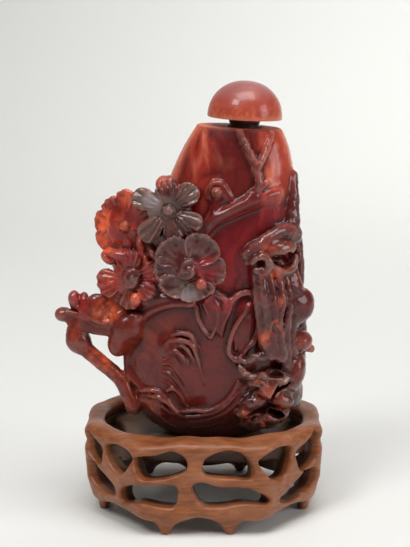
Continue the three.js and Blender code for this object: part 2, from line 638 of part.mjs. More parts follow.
function standSolid() {
  const [pocketX, pocketY] = [standWidth / 2 - rimBreadthSide, standDepth / 2 - rimBreadthFront];
  const seatTop = standHeight - recessDepth;
  const rimUnder = standHeight - rimThickness;
  const drop = (y) => wallBackDrop * THREE.MathUtils.smoothstep(y, 0, standDepth / 2);
  const wave = (z, x, y) => {
    if (z > rimUnder) return z + rimRise(x, y);
    return z > wallFoot ? z : z - drop(y);
  };
  const body = loft([
    wallSection(wallFoot, 0.4), wallSection(7),
    wallSection(rimUnder - 0.6, 0.2), wallSection(standHeight - rimEdge), wallSection(standHeight, rimEdge),
  ], wave);
  const room = loft([
    wallSection(0, wallThickness), wallSection(wallFoot + 1.5, wallThickness),
    wallSection(rimUnder, wallThickness),
  ]);
  const sides = 16;
  const collarRing = superellipse(pocketX + collarWall, pocketY + collarWall, 2.6, sides);
  const collar = loft([
    { ring: collarRing, z: seatTop - seatThickness }, { ring: collarRing, z: rimUnder + 0.1 },
  ]);
  const pocketRing = superellipse(pocketX, pocketY, 2.6, sides);
  const pocketLip = superellipse(pocketX + 0.5, pocketY + 0.5, 2.6, sides);
  const pocket = loft([
    { ring: pocketRing, z: seatTop }, { ring: pocketRing, z: standHeight - 1 },
    { ring: pocketLip, z: standHeight + 0.2 },
  ]);
  const endGaps = [-1, 1].map((end) => {
    const gap = new THREE.CylinderGeometry(1, 1, seatThickness + 2, 12).rotateX(Math.PI / 2);
    gap.scale(endGapLength, endGapWidth, 1);
    return solidOf(gap.translate(end * pocketX, 0, seatTop - seatThickness / 2));
  });
  const within = loft([{ ring: pocketRing, z: seatTop - 9 }, { ring: pocketRing, z: standHeight }]);
  const backWindows = [...frontWindows, ...cornerWindows.filter((_, k) => k % 3 !== 1)];
  const windows = [
    ...frontWindows, ...cornerWindows,
    ...backWindows.map((outline) => outline.map(([d, up]) => [d + 180, up])),
    ...sideWindows, ...sideWindows.map((outline) => outline.map(([d, up]) => [-d, up])),
  ];
  const pierced = body.subtract(room).subtract(joined(windows.map(windowSolid)));
  return joined([pierced, collar, ...feet.map(footSolid)])
    .subtract(pocket)
    .subtract(joined(endGaps).intersect(within));
}

// Colours and finishes

const agate = new THREE.MeshStandardMaterial({ color: 0x6e1f1a, roughness: 0.2, metalness: 0 });
const paleAgate = new THREE.MeshStandardMaterial({ color: 0xb8503c, roughness: 0.15, metalness: 0 });
const darkWood = new THREE.MeshStandardMaterial({ color: 0x3a1410, roughness: 0.5, metalness: 0 });
const rootWood = new THREE.MeshStandardMaterial({ color: 0x8a4a2c, roughness: 0.45, metalness: 0 });

function named(name, geometry, material) {
  const mesh = new THREE.Mesh(geometry, material);
  mesh.name = name;
  return mesh;
}

const bottleGroup = new THREE.Group();
bottleGroup.position.set(bottleOffset, 0, standHeight - recessDepth + clearance);
bottleGroup.add(
  named('bottle', geometryOf(bottleSolid()), agate),
  named('stopper', stopperGeometry(), paleAgate),
  named('plug', plugGeometry(), darkWood),
);

const wholeGroup = new THREE.Group();
wholeGroup.add(named('stand', geometryOf(standSolid()), rootWood), bottleGroup);
wholeGroup.updateMatrixWorld(true);
const middle = new THREE.Box3().setFromObject(wholeGroup, true).getCenter(new THREE.Vector3());
wholeGroup.position.set(-middle.x, -middle.y, 0);

export default wholeGroup;
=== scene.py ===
"""A carved agate bottle with its stopper, on a pierced stand carved from root wood.

The bottle and the stand are sculpted as distance fields, in millimetres, and then meshed. The
front, with the five large blossoms, faces -Y.
"""

import logging
import math
from dataclasses import dataclass
from enum import Enum
from typing import Callable, Iterator, Sequence

import bpy
import numpy as np
from mathutils import Matrix, Vector


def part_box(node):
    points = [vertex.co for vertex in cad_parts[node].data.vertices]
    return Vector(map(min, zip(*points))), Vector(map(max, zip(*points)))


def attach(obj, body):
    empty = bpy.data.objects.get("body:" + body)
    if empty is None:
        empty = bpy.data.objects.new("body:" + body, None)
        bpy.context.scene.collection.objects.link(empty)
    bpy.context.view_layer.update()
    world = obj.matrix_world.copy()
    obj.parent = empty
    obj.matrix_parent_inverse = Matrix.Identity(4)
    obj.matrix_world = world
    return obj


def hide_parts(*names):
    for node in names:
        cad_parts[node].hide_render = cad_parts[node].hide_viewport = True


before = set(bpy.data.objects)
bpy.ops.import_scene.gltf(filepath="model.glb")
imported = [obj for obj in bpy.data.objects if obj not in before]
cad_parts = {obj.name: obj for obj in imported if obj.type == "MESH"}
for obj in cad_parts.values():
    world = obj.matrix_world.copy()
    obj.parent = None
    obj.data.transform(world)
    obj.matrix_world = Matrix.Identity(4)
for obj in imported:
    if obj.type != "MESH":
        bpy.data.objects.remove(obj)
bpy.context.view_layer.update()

log = logging.getLogger("bottle")
MM = 0.001
Colour = tuple[float, float, float]
Place = tuple[float, float, float]
Outline = Sequence[tuple[float, float]]


# Sculpting


class Clay:
    """A block of space that holds a signed distance and the stone's tints, voxel by voxel.

    Far is the distance that an empty block starts with, margin the room round a new shape, and the knobs are
    the pitches of its gnarls, all in millimetres.
    """

    FAR = 4.0
    MARGIN = 0.6
    STEM_KNOBS = 1.9
    LUMP_KNOBS = 2.3

    def __init__(self, low: Sequence[float], high: Sequence[float], step: float, tints: int = 2) -> None:
        """Makes an empty block.

        Args:
            low: Lowest corner, in millimetres.
            high: Highest corner, in millimetres.
            step: Size of a voxel, in millimetres.
            tints: How many tints the block carries.
        """
        self.low = np.asarray(low, float)
        self.step = step
        counts = np.ceil((np.asarray(high, float) - self.low) / step).astype(int) + 1
        self.axes = [self.low[k] + step * np.arange(counts[k]) for k in range(3)]
        self.distance = np.full(tuple(counts), self.FAR, np.float32)
        self.tints = [np.zeros(tuple(counts), np.float32) for _ in range(tints)]

    def window(self, low: np.ndarray, high: np.ndarray) -> tuple[tuple[slice, ...], list[np.ndarray]]:
        """Finds the part of the block between two corners.

        Args:
            low: Lowest corner.
            high: Highest corner.

        Returns:
            The slices of the arrays, and the coordinates along X, Y and Z, ready to broadcast.
        """
        first = np.clip(np.floor((low - self.low) / self.step).astype(int), 0, None)
        last = np.ceil((high - self.low) / self.step).astype(int) + 1
        slices = tuple(slice(int(a), max(int(a), int(b))) for a, b in zip(first, last))
        x, y, z = (self.axes[k][slices[k]].astype(np.float32) for k in range(3))
        return slices, [x[:, None, None], y[None, :, None], z[None, None, :]]

    def whole(self) -> tuple[tuple[slice, ...], list[np.ndarray]]:
        """Gives the slices and coordinates of the whole block, as window does for a part."""
        return self.window(self.low, np.array([axis[-1] for axis in self.axes]))

    def join(self, slices: tuple[slice, ...], shape: np.ndarray, blend: float,
             tints: Sequence[float | np.ndarray | None] = ()) -> None:
        """Adds a shape, with a soft fillet where it meets what is there.

        Args:
            slices: The part of the block that the shape lies in.
            shape: Its signed distance there.
            blend: Size of the fillet.
            tints: The new shape's tints. None leaves a tint as it is.
        """
        old = self.distance[slices]
        if old.size == 0:
            return
        share = np.clip(0.5 + 0.5 * (old - shape) / blend, 0.0, 1.0)
        for layer, tint in zip(self.tints, tints):
            if tint is not None:
                sharp = np.clip(0.5 + 2.0 * (share - 0.5), 0.0, 1.0)
                layer[slices] += (tint - layer[slices]) * sharp
        self.distance[slices] = old + (shape - old) * share - blend * share * (1.0 - share)

    def carve(self, slices: tuple[slice, ...], shape: np.ndarray, blend: float) -> None:
        """Takes a shape away, with soft edges.

        Args:
            slices: The part of the block that the shape lies in.
            shape: Its signed distance there.
            blend: Roundness of the edges that are left.
        """
        old = self.distance[slices]
        if old.size:
            share = np.clip(0.5 + 0.5 * (old + shape) / blend, 0.0, 1.0)
            self.distance[slices] = -shape + (old + shape) * share + blend * share * (1.0 - share)

    def strand(self, points: np.ndarray, radii: np.ndarray, blend: float,
               tints: Sequence[float | None] = (), rough: float = 0.0) -> None:
        """Adds a branch, stem or ridge: a round bar along a chain of points.

        Args:
            points: The chain, one point a row.
            radii: The bar's radius at each point.
            blend: Size of the fillet at its sides.
            tints: Its tints.
            rough: How far its surface is gnarled.
        """
        reach = float(radii.max()) + blend + self.MARGIN
        slices, (x, y, z) = self.window(points.min(0) - reach, points.max(0) + reach)
        shape = np.full(self.distance[slices].shape, self.FAR, np.float32)
        for a, b, ra, rb in zip(points[:-1], points[1:], radii[:-1], radii[1:]):
            ab = (b - a).astype(np.float32)
            length = float(ab @ ab) + 1e-9
            along = np.clip(((x - a[0]) * ab[0] + (y - a[1]) * ab[1] + (z - a[2]) * ab[2]) / length, 0, 1)
            gap = np.sqrt((x - a[0] - along * ab[0]) ** 2 + (y - a[1] - along * ab[1]) ** 2
                          + (z - a[2] - along * ab[2]) ** 2)
            np.minimum(shape, gap - (ra + (rb - ra) * along), out=shape)
        if rough:
            shape += rough * gnarl(x, y, z, self.STEM_KNOBS)
        self.join(slices, shape, blend, tints)

    def lump(self, centre: np.ndarray, radii: np.ndarray, turn: float, blend: float,
             tints: Sequence[float | None] = (), rough: float = 0.0, cut: bool = False) -> None:
        """Adds a rounded lump.

        Args:
            centre: Its middle.
            radii: Half sizes across, deep and up.
            turn: Its turn in degrees, clockwise as seen from the front.
            blend: Size of the fillet round it.
            tints: Its tints.
            rough: How far its surface is gnarled.
            cut: Whether it is carved away rather than added.
        """
        reach = float(max(radii)) + blend + self.MARGIN
        slices, (x, y, z) = self.window(centre - reach, centre + reach)
        c, s = math.cos(math.radians(turn)), math.sin(math.radians(turn))
        across = (c * (x - centre[0]) - s * (z - centre[2])) / radii[0]
        up = (s * (x - centre[0]) + c * (z - centre[2])) / radii[2]
        deep = (y - centre[1]) / radii[1]
        near = np.sqrt(across ** 2 + deep ** 2 + up ** 2) + 1e-6
        slope = np.sqrt((across / radii[0]) ** 2 + (deep / radii[1]) ** 2 + (up / radii[2]) ** 2) + 1e-6
        shape = near * (near - 1.0) / slope
        if rough:
            shape = shape + rough * gnarl(x, y, z, self.LUMP_KNOBS)
        if cut:
            self.carve(slices, shape, blend)
        else:
            self.join(slices, shape, blend, tints)

    def blur(self, layer: np.ndarray, reach: int, times: int) -> None:
        """Spreads a layer evenly over its neighbours, in place.

        Args:
            layer: The layer.
            reach: How many voxels it spreads each way.
            times: How often.
        """
        for _ in range(times):
            for axis in range(3):
                pad = [(0, 0)] * 3
                pad[axis] = (reach + 1, reach)
                total = np.cumsum(np.pad(layer, pad, mode="edge"), axis=axis, dtype=np.float32)
                high = [slice(None)] * 3
                low = [slice(None)] * 3
                high[axis] = slice(2 * reach + 1, None)
                low[axis] = slice(None, -(2 * reach + 1))
                layer[:] = (total[tuple(high)] - total[tuple(low)]) / (2 * reach + 1)

    def roughen(self, pitch: float, height: float, seed: int) -> None:
        """Makes the surface uneven where skin is left on it.

        Args:
            pitch: Spacing of the unevenness, in millimetres.
            height: Its height, in millimetres.
            seed: Its seed.
        """
        shape = [int((axis[-1] - axis[0]) / pitch) + 3 for axis in self.axes]
        relief = np.random.default_rng(seed).normal(size=shape).astype(np.float32)
        for number, axis in enumerate(self.axes):
            spots = (axis - axis[0]) / pitch
            cell = np.floor(spots).astype(int)
            share = (spots - cell).astype(np.float32)
            share = share * share * (3 - 2 * share)
            lower, upper = np.take(relief, cell, axis=number), np.take(relief, cell + 1, axis=number)
            relief = lower + (upper - lower) * share.reshape([-1 if k == number else 1 for k in range(3)])
        self.distance += height * relief * self.tints[0]

    def shade(self, reach: float) -> None:
        """Fills the last tint with how closed in each place is: 0.5 on a plain face, more in a groove.

        Args:
            reach: How far it looks, in millimetres.
        """
        layer = self.tints[-1]
        layer[:] = np.clip(0.5 - self.distance / self.step, 0.0, 1.0)
        self.blur(layer, max(1, round(reach / self.step / 1.4)), 2)

    def mesh(self, name: str, offset: Vector, faces: int) -> bpy.types.Object:
        """Meshes the block's surface and thins it out.

        Args:
            name: Name of the new object.
            offset: Where the block's own zero lies in the scene, in metres.
            faces: About how many triangles are kept.

        Returns:
            The object, with the tints as attributes tint_0, tint_1 and so on.
        """
        points, quads = self._net()
        log.info("%s: %d raw faces", name, len(quads))
        raw = bpy.data.meshes.new(name)
        raw.vertices.add(len(points))
        raw.vertices.foreach_set("co", points.astype(np.float32).ravel())
        raw.loops.add(quads.size)
        raw.loops.foreach_set("vertex_index", quads.astype(np.int32).ravel())
        raw.polygons.add(len(quads))
        raw.polygons.foreach_set("loop_start", np.arange(0, quads.size, 4, dtype=np.int32))
        raw.update(calc_edges=True)
        piece = put_in_scene(name, raw)
        if 2 * len(quads) > faces:
            thin = piece.modifiers.new("thin", "DECIMATE")
            thin.ratio = faces / (2 * len(quads))
            graph = bpy.context.evaluated_depsgraph_get()
            thinned = bpy.data.meshes.new_from_object(piece.evaluated_get(graph))
            piece.modifiers.clear()
            piece.data = thinned
            bpy.data.meshes.remove(raw)
            thinned.name = name
        data = piece.data
        places = np.empty(len(data.vertices) * 3, np.float32)
        data.vertices.foreach_get("co", places)
        places = places.reshape(-1, 3)
        for k, layer in enumerate(self.tints):
            tint = data.attributes.new(f"tint_{k}", "FLOAT", "POINT")
            tint.data.foreach_set("value", self._sample(layer, places))
        data.vertices.foreach_set("co", (places * MM + np.array(offset, np.float32)).ravel())
        data.polygons.foreach_set("use_smooth", np.ones(len(data.polygons), bool))
        data.update()
        return piece

    def _sample(self, layer: np.ndarray, places: np.ndarray) -> np.ndarray:
        """Reads a layer at places in millimetres, between voxels.

        Args:
            layer: The layer.
            places: One place a row.

        Returns:
            One value a place.
        """
        spot = (places - self.low) / self.step
        limit = np.array(layer.shape) - 2
        base = np.clip(np.floor(spot).astype(int), 0, limit)
        part = np.clip(spot - base, 0, 1)
        value = np.zeros(len(places), np.float32)
        for corner in np.ndindex(2, 2, 2):
            weight = np.prod(np.where(np.array(corner) == 1, part, 1 - part), axis=1)
            i, j, k = (base + corner).T
            value += (weight * layer[i, j, k]).astype(np.float32)
        return value

    def _net(self) -> tuple[np.ndarray, np.ndarray]:
        """Finds the surface: one point in each voxel that it crosses, joined by quads.

        Returns:
            The points, in millimetres, and the quads.
        """
        d = self.distance
        inside = d < 0
        total = np.zeros(tuple(n - 1 for n in d.shape), np.int8)
        ends = (slice(None, -1), slice(1, None))
        for a, b, c in np.ndindex(2, 2, 2):
            total += inside[ends[a], ends[b], ends[c]]
        active = (total > 0) & (total < 8)
        cells = np.argwhere(active)
        number = np.full(active.shape, -1, np.int64)
        number[active] = np.arange(len(cells))
        summed = np.zeros((len(cells), 3))
        count = np.zeros(len(cells))
        for axis in range(3):
            for a, b in np.ndindex(2, 2):
                start = np.insert([a, b], axis, 0)
                end = np.insert([a, b], axis, 1)
                first = d[tuple((cells + start).T)].astype(float)
                last = d[tuple((cells + end).T)].astype(float)
                crossed = (first < 0) != (last < 0)
                way = np.where(crossed, first / np.where(crossed, first - last, 1.0), 0.0)
                spot = start + way[:, None] * (end - start)
                summed[crossed] += spot[crossed]
                count[crossed] += 1
        points = self.low + self.step * (cells + summed / count[:, None])
        quads = []
        for axis in range(3):
            near = [slice(1, -1)] * 3
            far = [slice(1, -1)] * 3
            near[axis] = slice(0, -1)
            far[axis] = slice(1, None)
            before, after = inside[tuple(near)], inside[tuple(far)]
            spots = np.argwhere(before != after)
            shift = np.ones(3, int)
            shift[axis] = 0
            outward = before[tuple(spots.T)]
            spots = spots + shift
            u, v = [k for k in range(3) if k != axis]
            ring = []
            for du, dv in ((0, 0), (-1, 0), (-1, -1), (0, -1)):
                cell = spots.copy()
                cell[:, u] += du
                cell[:, v] += dv
                ring.append(number[tuple(cell.T)])
            quad = np.stack(ring, 1)
            flip = outward if axis == 1 else ~outward
            quad[flip] = quad[flip][:, ::-1]
            quads.append(quad)
        return points, np.concatenate(quads)


def put_in_scene(name: str, data: bpy.types.ID) -> bpy.types.Object:
    """Makes an object of the data and puts it in the scene."""
    made = bpy.data.objects.new(name, data)
    bpy.context.scene.collection.objects.link(made)
    return made


def gnarl(x: np.ndarray, y: np.ndarray, z: np.ndarray, pitch: float) -> np.ndarray:
    """Makes an uneven, knobbly relief that fills space.

    Args:
        x: Places along X.
        y: Places along Y.
        z: Places along Z.
        pitch: Rough distance between knobs.

    Returns:
        The relief, from about -1 to 1.
    """
    f = 2.0 * math.pi / pitch
    a = np.sin(f * (x + 0.6 * np.sin(0.9 * z + 0.4 * y)) + 0.7)
    a = a * np.sin(f * 0.83 * (z + 0.5 * np.sin(1.1 * x)))
    b = np.sin(f * 1.9 * (z - 0.35 * x) + 2.0) * np.sin(f * 1.7 * (x + 0.4 * y) + 0.3)
    c = np.sin(f * 0.9 * (y + 0.3 * z) + 1.1)
    return (0.6 * a + 0.3 * b + 0.25 * a * c).astype(np.float32)


def soft_max(a: np.ndarray, b: np.ndarray | float, blend: float) -> np.ndarray:
    """The larger of two distances, rounded where they cross.

    Args:
        a: One distance.
        b: The other.
        blend: Size of the rounding.

    Returns:
        The rounded larger one.
    """
    share = np.clip(0.5 + 0.5 * (a - b) / blend, 0.0, 1.0)
    return b + (a - b) * share + blend * share * (1.0 - share)


def smooth_run(points: np.ndarray, per_span: int = 5) -> np.ndarray:
    """Draws a smooth curve through points.

    Args:
        points: The points, one a row. Other numbers may follow the coordinates.
        per_span: How many steps lie between two points.

    Returns:
        The curve's points, first and last included.
    """
    ends = np.vstack([2 * points[0] - points[1], points, 2 * points[-1] - points[-2]])
    way = np.arange(per_span)[:, None] / per_span
    spans = []
    for p0, p1, p2, p3 in zip(ends[:-3], ends[1:-2], ends[2:-1], ends[3:]):
        spans.append(0.5 * (2 * p1 + (p2 - p0) * way + (2 * p0 - 5 * p1 + 4 * p2 - p3) * way ** 2
                            + (3 * p1 - p0 - 3 * p2 + p3) * way ** 3))
    return np.vstack(spans + [points[-1:]])


# The bottle


class Leaf(Enum):
    """How a petal's face is carved."""

    RIBBED = "ribbed"
    CUPPED = "cupped"
    FAN = "fan"


@dataclass(frozen=True)
class Petal:
    """One petal of a blossom, in shares of the blossom's radius and in degrees from +X."""

    angle: float
    reach: float
    long: float
    broad: float


@dataclass(frozen=True)
class Blossom:
    """A blossom: its boss's place, size, facing and petals."""

    at: Place
    radius: float
    turn: float
    tip: float
    leaf: Leaf
    petals: tuple[Petal, ...]
    tints: tuple[float, float] = (1.0, 0.0)
    boss: float = 0.24


@dataclass(frozen=True)
class Stem:
    """A branch, ridge or root: its places in one row, and radii spread evenly along it, in thousandths."""

    run: tuple[float, ...]
    thick: tuple[float, ...]
    blend: float = 0.7
    rough: float = 0.0
    tints: tuple[float | None, float | None] = (None, None)


@dataclass(frozen=True)
class Group:
    """Stems that are laid alike.

    Side is -1 where their third numbers are lifts off the front, 1 off the back, and 0 for depths. Sink is how
    much less they are lifted, slim scales their radii, and rough is the least that they are gnarled.
    """

    stems: tuple[Stem, ...]
    side: int = 0
    sink: float = 0.0
    slim: float = 1.0
    rough: float = 0.0


@dataclass(frozen=True)
class Lump:
    """A rounded lump: its place and radii in thousandths, its turn in degrees and its surface."""

    at: Place
    radii: Place
    turn: float = 0.0
    blend: float = 0.8
    rough: float = 0.0
    tints: tuple[float | None, float | None] = (None, None)


Spot = tuple[float, float, float, float, float]


def petals(*rows: tuple[float, float, float, float]) -> tuple[Petal, ...]:
    """Makes petals from rows of direction, reach, half length and half breadth."""
    return tuple(Petal(*row) for row in rows)


def even_petals(roll: float) -> tuple[Petal, ...]:
    """Makes five even petals, the first in the given direction."""
    return petals(*((roll + 72 * k, 0.62, 0.4, 0.38) for k in range(5)))


LUMPS: tuple[Lump, ...] = (
    # the leaves that carry the blossoms
    Lump((-330, 630, -200), (120, 80, 150), 0, 1.6, 0.1, (0.15, 0)),
    Lump((-220, 500, -480), (160, 50, 70), 0, 1.2, 0.12, (0.4, 0)),
    Lump((-80, 670, -580), (100, 50, 70), 0, 1, 0.12, (0.6, 0)),
    Lump((-240, 610, -520), (70, 40, 60), 0, 1, 0.2, (0.6, 0)),
    Lump((-250, 620, -680), (30, 40, 16), 60, 0.4, 0.1, (0.5, 0)),
    Lump((-300, 585, -660), (40, 30, 14), 75, 0.4, 0.1, (0.4, 0.2)),
    Lump((-340, 630, -600), (45, 30, 16), 80, 0.4, 0.1, (0.3, 0.1)),
    # buds and single leaves
    Lump((-165, 833, -660), (28, 30, 28), 0, 0.4, 0, (0.4, 0)),
    Lump((-120, 836, -660), (24, 28, 26), 0, 0.25, 0, (0.6, 0)),
    Lump((20, 805, -700), (34, 30, 30), 0, 0.4, 0, (0.2, 0)),
    Lump((-575, 600, -520), (34, 28, 26), 16, 0.4, 0, (0.3, 0)),
    Lump((-450, 606, -620), (58, 30, 22), 10, 0.4, 0, (0.2, 0)),
    Lump((-385, 475, -780), (18, 20, 22), 0, 0.25, 0, (0, 0.5)),
    Lump((110, 534, -1020), (18, 18, 18), 20, 0.25, 0, (0.3, 0.3)),
    # the heads of the fork, the thin dish and the body behind it, and the handle's knob
    Lump((-960, 404, -280), (24, 30, 23), 0, 0.6, 0, (0.4, 0.1)),
    Lump((-870, 450, -280), (21, 28, 32), -6, 0.3, 0, (0.3, 0.1)),
    Lump((-800, 445, -280), (18, 26, 32), 8, 0.3, 0, (0.3, 0.1)),
    Lump((-640, 425, -420), (82, 22, 52), -8, 0.6, 0, (0, 0.1)),
    Lump((-700, 452, -400), (26, 20, 24), 0, 0.5, 0, (0, 0.1)),
    Lump((-530, 315, -400), (36, 36, 46), 8, 1, 0, (0, 0)),
    Lump((-450, 370, -420), (60, 60, 60), 0, 1.4, 0, (0, 0)),
    Lump((-840, 315, -300), (36, 34, 40), 40, 0.8, 0.05, (0.6, 0)),
    # lobes down the right edge
    Lump((860, 440, -420), (48, 50, 58), 8, 0.5, 0.05, (0.4, 0)),
    Lump((840, 500, -100), (25, 40, 45), 0, 0.8, 0.06, (0.6, 0)),
    Lump((850, 325, -440), (48, 50, 36), 0, 0.5, 0.06, (0.35, 0.1)),
    Lump((810, 225, -480), (42, 60, 70), 16, 0.5, 0.06, (0.4, 0)),
    Lump((750, 130, -200), (60, 80, 80), 24, 1.4, 0.12, (0.6, 0)),
    # the trunk's body behind its roots, and the stone under its arch
    Lump((670, 460, -560), (90, 44, 150), 0, 1.2, 0.12, (0.6, 0)),
    Lump((620, 628, -600), (85, 64, 40), -6, 0.8, 0.12, (0.8, 0.05)),
    # rough rock low on the right
    Lump((640, 200, -700), (70, 45, 45), -16, 0.8, 0.2, (0.8, 0)),
    Lump((540, 208, -800), (36, 40, 32), 10, 0.4, 0.22, (0.8, 0)),
    Lump((610, 183, -820), (40, 30, 34), 20, 0.4, 0.18, (0.75, 0)),
    Lump((720, 146, -660), (44, 40, 32), 30, 0.4, 0.18, (0.75, 0)),
    Lump((760, 200, -560), (45, 50, 50), 0, 0.6, 0.16, (0.8, 0)),
    Lump((500, 140, -720), (45, 40, 30), -20, 0.6, 0.2, (0.8, 0)),
    Lump((460, 106, -740), (38, 30, 20), -10, 0.4, 0.18, (0.75, 0)),
    Lump((580, 75, -540), (85, 50, 38), -12, 0.9, 0.2, (0.8, 0)),
    Lump((620, 200, 600), (80, 60, 100), -12, 1.4, 0.2, (0.8, 0.1)),
    Lump((720, 420, 400), (50, 70, 130), 0, 1.4, 0.2, (1, 0)),
    Lump((-300, 550, 300), (80, 70, 110), 0, 1.6, 0, (0.4, 0.1)),
)
# These lie at depths of their own.
FREE_STEMS: tuple[Stem, ...] = (
    # the handle
    Stem((-860, 375, -300, -860, 325, -300, -780, 286, -310, -680, 250, -330, -530, 193, -340, -450, 129,
         -380, -420, 100, -400), (26, 34, 26, 25, 24, 24, 26), 1, 0.06, (0.15, 0.15)),
    # the fork at the left: its arm, with a rail above and below, and the lip of its dish
    Stem((-970, 404, -300, -870, 396, -300, -780, 376, -320, -700, 364, -360, -600, 364, -400, -510, 375,
         -480, -380, 405, -600), (20, 20, 19, 18, 18, 20, 20), 0.8, 0, (0.3, 0)),
    Stem((-930, 415, -380, -820, 404, -400, -730, 383, -420, -640, 373, -450, -540, 386, -520, -420, 415,
         -620), (8, 9), 0.25, 0, (0.2, 0)),
    Stem((-910, 380, -340, -800, 363, -360, -710, 352, -380, -580, 350, -440, -490, 345, -500, -420, 330,
         -520), (10, 12, 14), 0.5, 0, (0.2, 0)),
    Stem((-840, 428, -380, -790, 417, -440, -730, 400, -480, -660, 388, -500, -580, 390, -520, -520, 406,
         -540), (8, 10, 8), 0.4, 0, (0.2, 0)),
    Stem((-165, 833, -620, 30, 790, -380), (14, 18), 0.8),
    # the trunk's spike, arch and curled edges
    Stem((805, 846, -180, 800, 760, -280, 785, 660, -360), (18, 23, 32), 0.8, 0.12, (0.8, 0)),
    Stem((440, 615, -850, 550, 653, -850, 630, 675, -760, 730, 685, -600, 810, 668, -380), (12, 18, 22, 28),
         0.7, 0.1, (0.6, 0)),
    Stem((450, 595, -880, 540, 630, -880, 620, 652, -820, 700, 655, -700), (9, 12), 0.35, 0.1, (0.7, 0.1)),
    Stem((570, 575, -920, 620, 584, -900, 680, 572, -860, 740, 560, -760, 800, 574, -620, 810, 602, -550),
         (11, 13), 0.35, 0.08, (0.8, 0.15)),
    Stem((490, 600, -920, 530, 616, -950, 590, 613, -950, 610, 588, -950, 580, 566, -950, 520, 572, -930),
         (12, 14), 0.4, 0.08, (0.9, 0)),
    Stem((820, 292, -340, 890, 300, -300, 960, 285, -200), (14, 18, 14), 0.5, 0.1, (0.4, 0.2)),
    # the speckled edge over the hollow in the rock
    Stem((400, 260, -840, 450, 236, -900, 520, 230, -920, 580, 235, -920), (12, 14), 0.35, 0.3, (0.6, 0)),
    Stem((390, 285, -820, 450, 278, -880, 520, 295, -900, 600, 300, -900), (10, 16), 0.4, 0.2, (0.7, 0)),
)
# These lie on the front.
FRONT_STEMS: tuple[Stem, ...] = (
    # the branch over the shoulder, the forked twig and the stalks that leave them
    Stem((100, 670, 20, 200, 722, 30, 360, 758, 30, 520, 785, 20, 680, 800, 0), (17, 18, 14), 1.4),
    Stem((460, 782, 20, 540, 830, 40, 515, 885, 40, 450, 940, 30, 385, 995, 20), (14, 11, 11, 8), 0.6, 0.2,
         (0.5, 0)),
    Stem((520, 880, 40, 575, 915, 30, 635, 985, 20), (11, 8), 0.6, 0.2, (0.5, 0)),
    Stem((600, 835, 0, 545, 823, 30), (8, 10), 0.6),
    Stem((200, 735, 10, 225, 800, 10), (10, 10), 1.2),
    Stem((330, 785, 0, 260, 835, 10), (8, 7), 0.8),
    # the leaf folds between the fork and the blossoms, round the plain belly
    Stem((-350, 405, 20, -390, 347, 40, -440, 290, 40, -460, 246, 40, -430, 203, 30, -360, 175, 0), (12, 18,
         16, 10), 1),
    Stem((-350, 396, 50, -280, 426, 50, -190, 449, 50, -80, 462, 60, 20, 461, 50), (15, 14), 0.8),
    Stem((-560, 378, 200, -430, 417, 100, -300, 453, 60, -170, 475, 60, -50, 475, 60, 50, 465, 40), (12, 14,
         10), 0.6, 0, (0.3, 0)),
    Stem((-530, 358, 150, -420, 397, 80, -300, 433, 50, -180, 460, 50), (10, 8), 0.6),
    # the broad base of the looped leaf and the mass of the low stems
    Stem((470, 440, -100, 440, 380, -100, 420, 330, -100), (36, 40, 30), 1.6),
    Stem((200, 460, -90, 200, 400, -90), (36, 30), 1.6),
    Stem((-100, 310, -140, -20, 260, -140, 40, 170, -120), (45, 48, 36), 1.6),
    Stem((-300, 130, -110, -120, 90, -110, 100, 80, -100, 320, 110, -100, 420, 180, -110), (32, 30), 1.2),
    # the ring round the bud over the branch
    Stem((160, 790, 10, 165, 815, 10, 200, 834, 15, 250, 833, 15, 285, 810, 10, 275, 785, 0, 230, 772, 0), (6,
         9, 6), 0.6, 0.1, (0.2, 0.1)),
)
